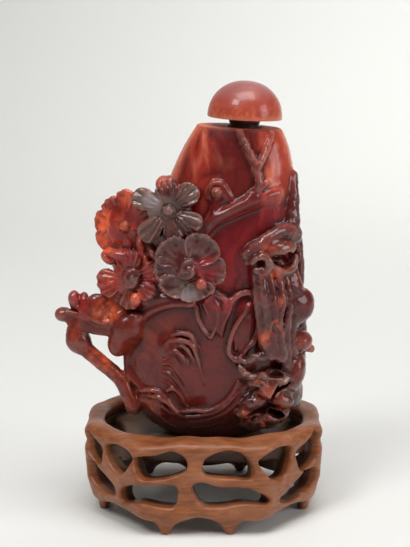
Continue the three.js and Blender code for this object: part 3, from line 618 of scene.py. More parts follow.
# These lie on the front too, thinner and sunk a little.
FINE_STEMS: tuple[Stem, ...] = (
    # the branch's lower ridge
    Stem((140, 695, 10, 300, 733, 20, 450, 757, 20, 680, 778, 0), (7,), 0.8),
    # the pointed leaf
    Stem((160, 477, 70, 200, 493, 80, 250, 487, 80, 290, 471, 70, 290, 440, 50), (13, 12), 0.5, 0.1),
    Stem((200, 474, 70, 230, 443, 70, 230, 404, 60, 200, 372, 50, 180, 353, 30), (11, 8), 0.35),
    Stem((70, 449, 30, 90, 410, 40, 130, 375, 40, 180, 353, 30), (10, 7), 0.35),
    Stem((130, 461, 60, 160, 430, 60, 190, 391, 50), (8, 6), 0.3),
    Stem((270, 442, 40, 270, 404, 40, 240, 369, 30), (10, 7), 0.4),
    # the looped leaf
    Stem((480, 453, 70, 410, 416, 80, 350, 375, 70, 320, 330, 60, 320, 301, 50, 360, 281, 50), (9, 11), 0.4),
    Stem((360, 281, 50, 410, 290, 50, 450, 315, 60, 520, 342, 70, 550, 390, 80, 540, 445, 80, 520, 480, 70),
         (12, 9), 0.4),
    Stem((520, 480, 70, 470, 497, 80, 400, 492, 80, 340, 474, 60), (11, 13), 0.4, 0.12),
    Stem((450, 441, 50, 400, 403, 50, 370, 358, 50, 370, 313, 40), (6,), 0.3),
    Stem((340, 474, 60, 320, 436, 50, 280, 398, 40, 260, 359, 20), (10, 6), 0.5),
    # the whorl, from its outer strand inwards
    Stem((-110, 359, 40, -40, 367, 60, 20, 362, 60, 50, 343, 50, 80, 314, 30), (8, 11, 7), 0.4),
    Stem((-180, 312, 30, -140, 336, 60, -60, 345, 80, 20, 336, 80, 60, 311, 70, 90, 269, 50, 130, 203, 10),
         (9, 11, 8, 5), 0.35),
    Stem((-120, 320, 70, -50, 329, 90, 0, 317, 90, 40, 288, 70, 80, 236, 30), (8, 8, 5), 0.25),
    Stem((-160, 298, 60, -100, 312, 90, -50, 300, 100, 0, 268, 80, 50, 209, 30), (8, 9, 5), 0.25),
    Stem((-170, 280, 50, -110, 292, 80, -70, 277, 90, -20, 238, 70, 40, 182, 30), (8, 8, 5), 0.25),
    Stem((-180, 264, 30, -120, 266, 60, -70, 241, 70, -10, 198, 50, 40, 155, 20), (7, 8, 5), 0.25),
    Stem((-180, 238, 10, -120, 229, 40, -50, 191, 40, 10, 144, 30), (6, 7), 0.3),
    Stem((-180, 207, 0, -120, 193, 20, -50, 160, 30, 0, 121, 20), (5, 6), 0.3),
    # the stems that run down and under the belly
    Stem((-300, 149, 40, -220, 151, 60, -150, 134, 50, -90, 108, 40, -40, 76, 30), (10, 9), 0.35, 0.1, (0.3,
         0.1)),
    Stem((-270, 110, 50, -220, 91, 60, -150, 67, 50, -90, 50, 30), (9, 8), 0.3, 0, (0.3, 0)),
    Stem((-190, 120, 50, -120, 97, 50, -70, 79, 40), (8, 6), 0.3),
    Stem((-150, 174, 20, -110, 183, 40, -60, 167, 30, -20, 134, 20), (9, 6), 0.3),
    Stem((-380, 158, 30, -300, 170, 50, -220, 168, 40, -160, 150, 30, -120, 128, 20), (11, 7), 0.35, 0.1,
         (0.3, 0.1)),
    Stem((-40, 106, 40, 50, 111, 50, 160, 111, 50, 270, 135, 40, 340, 168, 40, 390, 208, 20), (7, 9, 7),
         0.35),
    Stem((-10, 88, 50, 100, 94, 60, 210, 105, 60, 310, 135, 50, 390, 174, 40), (8, 9), 0.3),
    Stem((-10, 69, 50, 110, 74, 60, 240, 94, 60, 340, 121, 50, 400, 153, 40), (8, 9), 0.3),
    Stem((50, 51, 40, 190, 63, 40, 310, 89, 40, 400, 116, 30), (8,), 0.35),
)
# These lie on the back.
BACK_STEMS: tuple[Stem, ...] = (
    Stem((660, 240, 10, 500, 420, 10, 300, 530, 10, 120, 600, 10), (32, 18), 1.2, 0.25, (0.8, 0.1)),
    Stem((400, 480, 10, 120, 440, 10, -200, 420, 10), (22, 16), 1, 0.2, (0.6, 0.1)),
    Stem((120, 600, 10, 160, 740, 10, 300, 860, 10), (18, 12), 1, 0.15, (0.4, 0.1)),
    Stem((-360, 130, 10, 50, 85, 10, 500, 140, 10), (22, 22), 1.2, 0.1),
)
# The roots run down the right side.
ROOTS: tuple[Stem, ...] = (
    Stem((500, 600, -860, 520, 543, -900, 530, 480, -900, 550, 410, -900, 570, 330, -880), (12, 16, 14), 0.25,
         0.1, (0.6, 0)),
    Stem((550, 570, -920, 570, 511, -950, 590, 461, -950, 600, 410, -950, 590, 358, -940, 630, 300, -900),
         (15, 19, 16, 20), 0.25, 0.1, (0.6, 0)),
    Stem((610, 575, -880, 630, 516, -910, 650, 466, -920, 650, 414, -920, 640, 357, -920, 670, 300, -860),
         (14, 17, 14, 20), 0.25, 0.1, (0.6, 0)),
    Stem((670, 570, -820, 700, 513, -840, 710, 468, -860, 690, 417, -880, 700, 359, -860, 710, 290, -800),
         (16, 18, 16, 22), 0.25, 0.1, (0.6, 0)),
    Stem((730, 565, -700, 760, 500, -740, 765, 450, -760, 750, 397, -780, 750, 332, -740, 760, 260, -700),
         (15, 18, 16, 22), 0.25, 0.1, (0.6, 0)),
    Stem((790, 600, -540, 810, 530, -580, 820, 460, -600, 800, 397, -640, 790, 332, -620, 800, 260, -560),
         (16, 20, 18, 26), 0.25, 0.1, (0.6, 0)),
    Stem((820, 671, -300, 845, 600, -300, 850, 530, -340, 830, 450, -400, 810, 368, -400, 790, 270, -360),
         (22, 22, 22, 26), 0.25, 0.1, (0.6, 0)),
    Stem((820, 620, -80, 835, 500, -100, 860, 380, -140, 850, 240, -160), (26, 34), 0.25, 0.1, (0.6, 0)),
)
HOLLOWS: tuple[Lump, ...] = (
    # the dark recesses under the arch and in the rock, and the grooves in the buds
    Lump((690, 606, -840), (26, 50, 14), 8, 0.3),
    Lump((760, 605, -660), (22, 50, 20), 20, 0.3),
    Lump((560, 262, -960), (50, 40, 13), 4, 0.3),
    Lump((480, 182, -940), (34, 40, 14), -30, 0.3),
    Lump((620, 118, -840), (40, 45, 13), -14, 0.3),
    Lump((680, 95, -600), (30, 50, 12), 20, 0.3),
    Lump((670, 235, -840), (30, 30, 10), 10, 0.25),
    Lump((570, 165, -960), (34, 30, 5), 35, 0.6),
    Lump((660, 170, -860), (5, 35, 34), 24, 0.6),
    Lump((530, 112, -800), (36, 30, 5), -25, 0.6),
    Lump((720, 190, -740), (34, 30, 5), -32, 0.6),
    Lump((-143, 848, -840), (3, 20, 22), 0, 0.25),
    Lump((-185, 842, -840), (2.5, 16, 20), 10, 0.25),
    Lump((-100, 842, -840), (2.5, 16, 18), -10, 0.25),
    Lump((-600, 606, -720), (30, 24, 4), 40, 0.25),
)
RINGS: tuple[Lump, ...] = (
    # the bud in the ring over the branch
    Lump((225, 808, -660), (16, 22, 16), 0, 0.3),
)
# Where thin or clear stone glows: across, up, deep and radius in thousandths, and strength.
GLOWS: tuple[Spot, ...] = (
    (-610, 425, -500, 35, 1), (-690, 430, -460, 30, 0.5), (-385, 475, -800, 20, 0.8),
    (-680, 255, -330, 40, 0.8), (-560, 200, -330, 30, 0.5), (-680, 700, -500, 55, 1),
    (-450, 800, -500, 40, 0.6), (-580, 630, -500, 40, 0.8), (-500, 700, -600, 50, 0.3),
    (-580, 520, -600, 35, 0.5), (620, 180, -900, 40, 0.22), (700, 140, -850, 30, 0.22),
    (460, 100, -860, 24, 0.3), (-300, 320, -700, 120, 0.1), (-530, 315, -500, 40, 0.12),
    (585, 360, -970, 20, 0.55), (710, 470, -900, 16, 0.5), (660, 560, -900, 16, 0.45),
    (600, 640, -850, 30, 0.3), (110, 534, -1020, 14, 0.2), (-260, 560, -750, 20, 0.4),
    (-250, 130, -600, 30, 0.2), (580, 640, -850, 16, 0.25),
)
# Where more or less skin is left: across, up, deep and radius in thousandths, and change.
STAINS: tuple[Spot, ...] = (
    # the first spot thickens the skin on the ribbed blossom's upper left petal into its frost grey, partly a
    # painted highlight
    (-260, 790, -900, 34, 0.25), (-180, 835, -800, 26, -0.5), (50, 505, -1000, 40, 0.3),
    (160, 580, -1000, 34, -0.8), (-60, 630, -1000, 30, -0.1), (-410, 545, -800, 30, 0.45),
    (-410, 490, -800, 30, 0.5), (-840, 330, -300, 35, 0.35), (-900, 430, -300, 30, 0.25),
    (-500, 310, -500, 40, 0.2), (750, 460, -800, 50, -0.2), (660, 150, -800, 50, -0.3),
    (160, 710, -750, 30, 0.45), (300, 745, -700, 30, 0.3), (470, 775, -650, 30, 0.35),
    (250, 490, -950, 35, 0.4), (400, 500, -900, 30, 0.3), (-100, 460, -1000, 50, 0.35),
    (-20, 340, -1000, 40, 0.2), (100, 90, -1000, 50, 0.25), (-250, 120, -800, 40, 0.3),
)
GROUPS: tuple[Group, ...] = (
    Group(FREE_STEMS), Group(FRONT_STEMS, -1), Group(FINE_STEMS, -1, 0.01, 0.85, 0.06), Group(BACK_STEMS, 1),
    Group(ROOTS, 0, 0.0, 0.92),
)


@dataclass
class CarvedBottle:
    """The hollow bottle with all that is carved on it. Places are shares of its own box.

    Across and deep run from -1 to 1 over the half width and half depth, and up from 0 to 1. Its own
    sizes are in millimetres and its lean in degrees. Ends are how far its block of clay stands out
    beyond its box.
    """

    width: float = 54.2
    depth: float = 27.0
    height: float = 65.3
    offset: float = -3.4
    wall: float = 3.6
    neck: float = 9.2
    bore: float = 3.5
    lean: float = 3.0
    mouth_across: float = 0.435
    mouth_high: float = 0.39
    ends: tuple[Place, Place] = ((-1.2, -3.4, -0.9), (1.6, 1.8, 1.6))
    smoothing: int = 14
    most_skin: float = 1.1
    glow_bares: float = 0.8
    spot_reach: float = 2.2
    petal_veins: float = 26.0
    petal_widens: float = 0.22
    faces: int = 188000
    # pitch, height and seed of the skin's unevenness
    reliefs: tuple[tuple[float, float, int], ...] = ((1.9, 0.11, 5), (0.8, 0.08, 6))
    square: float = 2.3
    # up, and the vessel's middle, half width and half depth there
    levels: tuple[tuple[float, float, float, float], ...] = (
        (0.0, 0.2, 0.36, 0.46), (0.03, 0.19, 0.5, 0.6), (0.1, 0.175, 0.62, 0.74),
        (0.25, 0.17, 0.66, 0.8), (0.45, 0.2, 0.63, 0.78), (0.65, 0.27, 0.565, 0.72),
        (0.85, 0.349, 0.475, 0.62), (0.95, 0.38, 0.395, 0.54), (1.0, 0.39, 0.32, 0.48),
    )
    blossoms: tuple[Blossom, ...] = (
        Blossom((-0.45, 0.7, -0.52), 0.1, 26, 0, Leaf.FAN, petals(
            (92, 0.8, 0.36, 0.3), (132, 0.72, 0.34, 0.38), (176, 0.8, 0.38, 0.4),
            (212, 0.84, 0.38, 0.38), (250, 0.6, 0.36, 0.46), (30, 0.5, 0.44, 0.44)), (0.1, 0.1), 0.16),
        Blossom((-0.13, 0.76, -0.86), 0.094, 8, 4, Leaf.RIBBED, petals(
            (158, 0.82, 0.48, 0.34), (228, 0.84, 0.48, 0.36), (286, 0.7, 0.42, 0.42),
            (334, 0.78, 0.44, 0.34), (40, 0.74, 0.42, 0.38), (95, 0.5, 0.4, 0.4)), (0.88, 0.0), 0.2),
        Blossom((0.01, 0.58, -0.93), 0.1, 2, -2, Leaf.CUPPED, petals(
            (134, 0.68, 0.46, 0.54), (56, 0.72, 0.5, 0.58), (-4, 0.76, 0.44, 0.44),
            (292, 0.74, 0.32, 0.56), (230, 0.72, 0.36, 0.42), (182, 0.68, 0.38, 0.42)), (0.76, 0.0), 0.34),
        Blossom((-0.41, 0.54, -0.68), 0.092, 14, -2, Leaf.RIBBED, petals(
            (194, 0.86, 0.42, 0.5), (262, 0.78, 0.34, 0.34), (18, 0.66, 0.4, 0.38),
            (322, 0.62, 0.34, 0.36), (98, 0.6, 0.34, 0.44)), (0.45, 0.05), 0.34),
        Blossom((0.1, 0.62, 0.82), 0.092, 180, 0, Leaf.CUPPED, even_petals(18)),
        Blossom((-0.22, 0.42, 0.86), 0.08, 188, 0, Leaf.RIBBED, even_petals(40)),
    )
    groups: tuple[Group, ...] = GROUPS
    lumps: tuple[Lump, ...] = LUMPS
    hollows: tuple[Lump, ...] = HOLLOWS
    rings: tuple[Lump, ...] = RINGS
    glows: tuple[Spot, ...] = GLOWS
    stains: tuple[Spot, ...] = STAINS

    def __post_init__(self) -> None:
        """Smooths the vessel's levels into finely spaced ones."""
        rows = np.array(self.levels)
        ups = np.linspace(0, 1, 101)
        self.profile = np.column_stack([ups] + [np.interp(ups, rows[:, 0], rows[:, k]) for k in (1, 2, 3)])
        for _ in range(self.smoothing):
            self.profile[1:-1, 1:] += 0.25 * (self.profile[:-2, 1:] - 2 * self.profile[1:-1, 1:]
                                              + self.profile[2:, 1:])

    def place(self, across: float, up: float, deep: float) -> np.ndarray:
        """Turns shares into a place in millimetres."""
        return np.array([across * self.width / 2, deep * self.depth / 2, up * self.height])

    def face(self, across: float, up: float) -> float:
        """Gives how deep the plain vessel's face lies.

        Args:
            across: Where, across.
            up: Where, up.

        Returns:
            The depth as a share of the half depth, and 0 beyond the outline.
        """
        middle, wide, deep = (float(np.interp(up, self.profile[:, 0], self.profile[:, k])) for k in (1, 2, 3))
        aside = min(1.0, abs((across - middle) / wide))
        return deep * (1 - aside ** self.square) ** (1 / self.square)

    def lay(self, clay: Clay, stem: Stem, group: Group) -> None:
        """Sculpts one stem along a smooth chain.

        Args:
            clay: The bottle.
            stem: The stem.
            group: How it is laid.
        """
        rows = [self.place(a, u, group.side * (self.face(a, u) + d - group.sink) if group.side else d)
                for a, u, d in (np.reshape(stem.run, (-1, 3)) / 1000).tolist()]
        points = smooth_run(np.array(rows))
        radii = np.interp(np.linspace(0, 1, len(points)), np.linspace(0, 1, len(stem.thick)),
                          np.array(stem.thick) / 1000)
        clay.strand(points, group.slim * (radii * self.height), stem.blend, stem.tints,
                    max(stem.rough, group.rough))

    def press(self, clay: Clay, lump: Lump, cut: bool = False) -> None:
        """Adds a lump, or carves it away."""
        clay.lump(self.place(*np.array(lump.at) / 1000), np.array(lump.radii) / 1000 * self.height, lump.turn,
                  lump.blend, lump.tints, lump.rough, cut)

    def vessel(self, x: np.ndarray, y: np.ndarray, z: np.ndarray) -> np.ndarray:
        """Gives the distance to the plain vessel's side, without its ends.

        Args:
            x: Places along X.
            y: Places along Y.
            z: Places along Z.

        Returns:
            The distance, negative inside.
        """
        up = z / self.height
        middle, wide, deep = (np.interp(up, self.profile[:, 0], self.profile[:, k]) for k in (1, 2, 3))
        across = np.abs(x - middle * self.width / 2)
        aside = np.abs(y) + 1e-4
        norm = ((across / (wide * self.width / 2)) ** self.square
                + (aside / (deep * self.depth / 2)) ** self.square) ** (1 / self.square) + 1e-3
        return (np.sqrt(across ** 2 + aside ** 2) * (1 - 1 / norm) * 0.93).astype(np.float32)

    def block(self, clay: Clay) -> None:
        """Sculpts the plain vessel: its side and its rounded foot."""
        slices, (x, y, z) = clay.whole()
        body = soft_max(self.vessel(x, y, z), -z, 0.8)
        clay.join(slices, body + 0 * x, 0.4, (0.0, 0.0))

    def blossom(self, clay: Clay, flower: Blossom) -> None:
        """Sculpts one blossom: its heart, its petals with their veins, and its boss."""
        size = flower.radius * self.height
        turn, tip = math.radians(flower.turn), math.radians(flower.tip)
        right = np.array([math.cos(turn), -math.sin(turn), 0.0])
        facing = np.array([-math.sin(turn) * math.cos(tip), -math.cos(turn) * math.cos(tip), math.sin(tip)])
        raised = np.cross(right, facing) * -1.0
        raised = raised if raised[2] > 0 else -raised
        at = self.place(*flower.at)

        def seen_from(start: np.ndarray, grid: list[np.ndarray]) -> list[np.ndarray]:
            """Turns places into the blossom's own: right, raised and out of its face."""
            px, py, pz = (line - start[k] for k, line in enumerate(grid))
            return [px * way[0] + py * way[1] + pz * way[2] for way in (right, raised, facing)]

        for index, petal in enumerate(flower.petals):
            way = math.radians(petal.angle)
            centre = at + size * petal.reach * (math.cos(way) * right + math.sin(way) * raised)
            reach = size * max(petal.long, petal.broad) + 1.4
            slices, grid = clay.window(centre - reach, centre + reach)
            if 0 in clay.distance[slices].shape:
                continue
            lx, lz, front = seen_from(at, grid)
            s = (lx * math.cos(way) + lz * math.sin(way)) - petal.reach * size
            t = -lx * math.sin(way) + lz * math.cos(way)
            long, broad = petal.long * size, petal.broad * size
            widen = 1.0 + self.petal_widens * s / long
            ring = np.sqrt((s / long) ** 2 + (t / (broad * widen)) ** 2) + 1e-5
            outline = (ring - 1.0) * min(long, broad)
            outward = np.clip(ring, 0, 1.1)
            veins = self.petal_veins * np.arctan2(t, s + petal.reach * size)
            rib = np.cos(veins + index) * np.clip(1.2 * outward, 0.35, 1)
            if flower.leaf is Leaf.CUPPED:
                level = 0.06 * size + 0.13 * size * outward ** 4 + 0.02 * size * rib
            elif flower.leaf is Leaf.FAN:
                level = 0.1 * size + 0.02 * size * rib + 0.03 * size * outward ** 2
                outline = outline + 0.014 * size * (1 - np.cos(veins))
            else:
                level = 0.2 * size - 0.08 * size * ring ** 2 + 0.055 * size * rib
            level = level + 0.045 * size * math.sin(2.3 * index)
            plate = np.abs(front - level + 0.12 * size) - 0.12 * size
            clay.join(slices, soft_max(outline, plate, 0.22).astype(np.float32), 0.16, flower.tints)
        clay.lump(at - facing * 0.1 * size, np.array([0.72, 0.24, 0.72]) * size, 0, 0.3, flower.tints)
        dip = flower.boss + 0.06
        clay.lump(at + facing * 0.2 * size, np.array([dip, 0.13, dip]) * size, 0, 0.2, cut=True)
        boss = at + facing * 0.12 * size
        reach = (flower.boss + 0.2) * size
        slices, grid = clay.window(boss - reach, boss + reach)
        lx, lz, front = seen_from(boss, grid)
        aside = np.sqrt(lx ** 2 + lz ** 2)
        away = np.sqrt(aside ** 2 + (front * flower.boss / 0.2) ** 2)
        curl = 0.045 if flower.boss > 0.3 else 0.008
        swirl = np.cos(2 * np.arctan2(lz, lx) + 3.4 * aside)
        ball = away - flower.boss * size + curl * size * swirl
        clay.join(slices, ball.astype(np.float32), 0.1, flower.tints)

    def carve(self, clay: Clay) -> None:
        """Sculpts all the carving onto the vessel, the broad forms first."""
        for lump in self.lumps:
            self.press(clay, lump)
        for group in self.groups:
            for stem in group.stems:
                self.lay(clay, stem, group)
        for flower in self.blossoms:
            self.blossom(clay, flower)
        for hollow in self.hollows:
            self.press(clay, hollow, cut=True)
        for bud in self.rings:
            self.press(clay, bud)

    def spots(self, clay: Clay, rows: Sequence[Spot]) -> Iterator[tuple[tuple[slice, ...], np.ndarray]]:
        """Goes through soft round spots in the stone.

        Args:
            clay: The bottle.
            rows: The spots.

        Yields:
            The part of the block that a spot lies in, and how strong it is there.
        """
        for *at, radius, strength in rows:
            centre, size = self.place(*np.array(at) / 1000), radius / 1000 * self.height
            reach = self.spot_reach * size
            slices, (x, y, z) = clay.window(centre - reach, centre + reach)
            gap = (x - centre[0]) ** 2 + (y - centre[1]) ** 2 + (z - centre[2]) ** 2
            yield slices, strength * np.exp(-gap / size ** 2)

    def glow(self, clay: Clay) -> None:
        """Blurs the tints into each other and lights up the thin places."""
        skin, shine = clay.tints[:2]
        for layer in (skin, shine):
            clay.blur(layer, 3, 2)
        for slices, change in self.spots(clay, self.stains):
            skin[slices] = np.clip(skin[slices] + change, 0.0, self.most_skin)
        for slices, light in self.spots(clay, self.glows):
            shine[slices] = np.maximum(shine[slices], light)
            skin[slices] *= 1 - self.glow_bares * light

    def mouth_level(self, x: np.ndarray | float) -> np.ndarray | float:
        """Gives the leaning mouth's height over a place along X, in millimetres."""
        return self.height - (x - self.mouth_high * self.width / 2) * math.tan(math.radians(self.lean))

    def mouth(self, base: Vector) -> Matrix:
        """Gives the middle of the mouth, with Z out of it, in metres, for a base as build takes it."""
        across = self.mouth_across * self.width / 2
        at = base + Vector((self.offset + across, 0, self.mouth_level(across))) * MM
        return Matrix.Translation(at) @ Matrix.Rotation(math.radians(self.lean), 4, "Y")

    def finish_ends(self, clay: Clay) -> None:
        """Cuts the leaning mouth and the foot flat, and hollows the bottle."""
        slices, (x, y, z) = clay.whole()
        lean = math.radians(self.lean)
        top = ((z - self.mouth_level(x)) * math.cos(lean)).astype(np.float32)
        whole = soft_max(clay.distance, top + 0 * y, 0.45)
        clay.distance = soft_max(whole, -z + 0 * x + 0 * y, 0.3).astype(np.float32)
        shoulder = self.height - self.neck
        inner = soft_max(self.vessel(x, y, z) + self.wall, z - shoulder, 5.0)
        inner = soft_max(inner, self.wall - z, 4.0)
        axis_x = self.mouth_across * self.width / 2 + (z - self.height) * math.tan(lean)
        bore = np.maximum(np.sqrt((x - axis_x) ** 2 + y ** 2) - self.bore, shoulder - 6.0 - z)
        clay.carve(slices, np.minimum(inner, bore).astype(np.float32), 0.3)

    def build(self, base: Vector, step: float) -> bpy.types.Object:
        """Sculpts and meshes the bottle.

        Args:
            base: The middle of the stand at the height of the bottle's base, in metres.
            step: Size of a voxel, in millimetres.

        Returns:
            The bottle.
        """
        half = np.array([self.width / 2, self.depth / 2, 0.0])
        clay = Clay(self.ends[0] - half, self.ends[1] + half + (0, 0, self.height), step, 3)
        self.block(clay)
        self.carve(clay)
        self.glow(clay)
        for pitch, height, seed in self.reliefs:
            clay.roughen(pitch, height, seed)
        self.finish_ends(clay)
        clay.shade(0.9)
        return clay.mesh("agate_bottle", base + Vector((self.offset * MM, 0, 0)), self.faces)


# The stopper


@dataclass
class Stopper:
    """The agate dome, squarer than a half ball, and the dark plug under it."""

    radius: float = 7.7
    height: float = 7.6
    square: float = 2.1
    edge: float = 0.15
    gap: float = 0.3
    plug_radius: float = 3.2
    plug_inset: float = 4.4
    plug_shows: float = 1.5
    sides: int = 96

    def turned(self, name: str, outline: Outline, place: Matrix,
               wobble: float) -> bpy.types.Object:
        """Turns an outline round the upright axis.

        Args:
            name: Name of the object.
            outline: Radii and heights in millimetres, from axis to axis.
            place: Where the turned shape goes, in metres.
            wobble: How far the shape is off a true round, as hand work is, in millimetres.

        Returns:
            The object.
        """
        verts, faces = [], []
        for radius, up in outline:
            for k in range(self.sides):
                way = 2 * math.pi * k / self.sides
                r = radius + wobble * min(1.0, radius / 2) * math.sin(2 * way + 0.8) * 0.6
                verts.append(place @ Vector((r * math.cos(way) * MM, r * math.sin(way) * MM, up * MM)))
        for row in range(len(outline) - 1):
            for k in range(self.sides):
                a, b = row * self.sides + k, row * self.sides + (k + 1) % self.sides
                faces.append((a, b, b + self.sides, a + self.sides))
        faces.append(tuple(range(self.sides))[::-1])
        faces.append(tuple((len(outline) - 1) * self.sides + k for k in range(self.sides)))
        mesh = bpy.data.meshes.new(name)
        mesh.from_pydata(verts, [], faces)
        mesh.polygons.foreach_set("use_smooth", [True] * len(mesh.polygons))
        mesh.update()
        return put_in_scene(name, mesh)

    def build(self, mouth: Matrix) -> tuple[bpy.types.Object, bpy.types.Object]:
        """Builds the dome and the plug.

        Args:
            mouth: The middle of the bottle's mouth, with Z out of it, in metres.

        Returns:
            The dome and the plug.
        """
        low = self.plug_shows + self.gap
        outline = [(0.05, low + 0.25), (self.radius * 0.35, low + 0.2), (self.radius * 0.8, low + 0.02),
                   (self.radius * 0.985, low)]
        for k in range(31):
            way = math.pi / 2 * k / 30
            across = max(0.01, math.cos(way)) ** (2 / self.square)
            up = math.sin(way) ** (2 / self.square)
            outline.append((self.radius * across, low + self.edge + (self.height - self.edge) * up))
        dome = self.turned("agate_stopper", outline, mouth, 0.08)
        r = self.plug_radius
        rings = [(0.05, -self.plug_inset), (r - 0.35, -self.plug_inset), (r - 0.2, -self.plug_inset + 0.2),
                 (r - 0.06, -0.4), (r, 0.0), (r, 0.35), (r - 0.16, 0.5), (r - 0.16, 0.72), (r, 0.86),
                 (r, self.plug_shows - 0.15), (r - 0.15, self.plug_shows), (0.05, self.plug_shows)]
        return dome, self.turned("dark_plug", rings, mouth, 0.03)


# The stand


@dataclass
class RootStand:
    """The pierced stand: rim, seat, wall, base and feet, in millimetres from its middle.

    The waist is a groove under the rim: its depth, height and half breadth. A degree is 0.41 mm of wall. The
    windows lie this far to the sides and to the front, and leave the core alone.
    """

    width: float = 50.6
    depth: float = 42.6
    height: float = 19.8
    rim_side: float = 4.3
    rim_front: float = 6.5
    rim_thick: float = 2.6
    rim_wave: float = 0.35
    waist: Place = (0.45, 16.0, 1.1)
    per_degree: float = 0.41
    windows_at: tuple[float, float] = (20.5, 17.2)
    windows_reach: Place = (9.5, 9.5, 5.5)
    windows_wider: float = 0.25
    core: float = 11.0
    foot_middle: float = 2.6
    faces: int = 150000
    recess: float = 3.8
    seat: float = 1.9
    collar: float = 1.6
    end_gap: tuple[float, float] = (4.2, 8.6)
    wall: float = 3.7
    wall_foot: float = 3.5
    draw_side: float = 2.6
    draw_front: float = 0.7
    front_share: float = 0.53
    side_share: float = 0.36
    side_share_back: float = 0.4
    back_drop: float = 2.3
    foot_top: float = 4.8
    foot_sole: float = 1.1
    foot_root: float = 1.6
    foot_inset: float = 2.2
    feet: tuple[tuple[float, float], ...] = (
        (-22.5, 1.0), (16.0, 1.0), (-79.0, 1.15), (78.0, 1.15), (-102.0, 1.15), (103.0, 1.15),
        (-144.0, 0.9), (-171.0, 0.9), (156.0, 0.9),
    )
    front_windows: tuple[Outline, ...] = (
        ((-35, 16.2), (-24, 17.2), (-17, 17.9), (-11, 16.7), (-10, 14.5), (-15, 13.4), (-23, 12.6),
         (-32, 12.7)),
        ((-45, 8.7), (-34, 10.5), (-17, 10.8), (-15, 8.8), (-17, 6.6), (-25, 6.8), (-33, 7.4), (-45, 6.2)),
        ((0, 14.1), (2, 16.4), (11, 18.1), (20, 17.5), (25, 15.2), (25, 12.7), (16, 12.8), (4, 13.1)),
        ((-6, 10.4), (-1, 11.4), (8, 10.5), (22, 10.2), (31, 8.6), (33, 7.1), (22, 7.4), (10, 6.7), (0, 7.0)),
    )
    corner_windows: tuple[Outline, ...] = (
        ((-58, 16.3), (-48, 17.7), (-38, 17.0), (-41, 14.0), (-47, 12.1), (-54, 13.4)),
        ((-72, 18.2), (-64, 16.6), (-61, 14.2), (-64, 12.4), (-71, 14.2)),
        ((-71, 12.0), (-63, 10.8), (-53, 8.6), (-52, 6.8), (-62, 6.4), (-71, 8.4)),
        ((30, 16.7), (38, 18.0), (49, 17.2), (47, 13.9), (44, 11.8), (36, 12.0), (30, 14.8)),
        ((54, 15.0), (61, 16.6), (69, 18.6), (71, 15.8), (69, 12.8), (59, 11.4)),
        ((42, 6.8), (51, 8.6), (62, 10.4), (70, 10.4), (70, 7.4), (61, 5.8), (50, 5.6)),
    )
    side_windows: tuple[Outline, ...] = (
        ((80, 14.6), (83, 17.4), (91, 18.0), (99, 16.8), (99, 12.6), (89, 12.0)),
        ((81, 9.6), (90, 10.4), (100, 9.4), (98, 6.4), (84, 6.2)),
    )

    def drawn_in(self, z: np.ndarray) -> np.ndarray:
        """How far the wall has drawn in at a height, from 0 under the rim to 1 at the floor."""
        return np.interp(z, [0, 3, 5, 8, 14, 20], [1, 0.78, 0.5, 0.2, 0.04, 0])

    def eight_sided(self, x: np.ndarray, y: np.ndarray, half_x: np.ndarray, half_y: np.ndarray,
                    blend: float) -> np.ndarray:
        """Gives the distance to an eight-sided upright wall.

        Args:
            x: Places along X.
            y: Places along Y.
            half_x: Its half width at each height.
            half_y: Its half depth at each height.
            blend: Roundness of its corners.

        Returns:
            The distance, negative inside.
        """
        fx = half_x * self.front_share
        sy = half_y * np.where(y > 0, self.side_share_back, self.side_share)
        nx, ny = half_y - sy, half_x - fx
        size = np.sqrt(nx ** 2 + ny ** 2)
        slant = ((np.abs(x) - fx) * nx + (np.abs(y) - half_y) * ny) / size
        return soft_max(soft_max(np.abs(x) - half_x, np.abs(y) - half_y + 0 * x, blend), slant, blend)

    def oval(self, x: np.ndarray, y: np.ndarray, half_x: float, half_y: float) -> np.ndarray:
        """Gives the distance to a squarish oval, such as the recess's edge."""
        norm = ((np.abs(x) / half_x) ** 2.6 + (np.abs(y) / half_y) ** 2.6) ** (1 / 2.6) + 1e-3
        return np.sqrt(x ** 2 + y ** 2) * (1 - 1 / norm)

    def window(self, clay: Clay, outline: Outline) -> None:
        """Carves one window through the wall.

        Args:
            clay: The stand.
            outline: Directions, in degrees from the front towards +X, and heights.
        """
        scale, steps = self.per_degree, 4
        loop = smooth_run(np.array([(d * scale, z) for d, z in outline] * 3), steps)
        third = len(outline) * steps
        loop = loop[third:2 * third + 1]
        middle = loop.mean(0)
        way = math.radians(middle[0] / scale)
        centre = np.array([math.sin(way) * self.windows_at[0], -math.cos(way) * self.windows_at[1], middle[1]])
        reach = np.array(self.windows_reach)
        slices, (x, y, z) = clay.window(centre - reach, centre + reach)
        turned = np.degrees(np.arctan2(x * math.cos(way) + y * math.sin(way),
                                       x * math.sin(way) - y * math.cos(way))) * scale
        px = turned + middle[0] + 0 * z
        pz = z + 0 * turned
        near = np.full(px.shape, 1e3, np.float32)
        inside = np.zeros(px.shape, bool)
        for (ax, az), (bx, bz) in zip(loop[:-1], loop[1:]):
            ex, ez = bx - ax, bz - az
            length = ex * ex + ez * ez + 1e-9
            along = np.clip(((px - ax) * ex + (pz - az) * ez) / length, 0, 1)
            np.minimum(near, np.hypot(px - ax - along * ex, pz - az - along * ez), out=near)
            inside ^= ((az > pz) != (bz > pz)) & (px < ex * (pz - az) / (ez if ez else 1e-9) + ax)
        shape = np.where(inside, -near, near) - self.windows_wider
        shape = soft_max(shape, self.core - np.hypot(x, y * 1.18) + 0 * z, 0.5)
        clay.carve(slices, shape.astype(np.float32), 0.7)

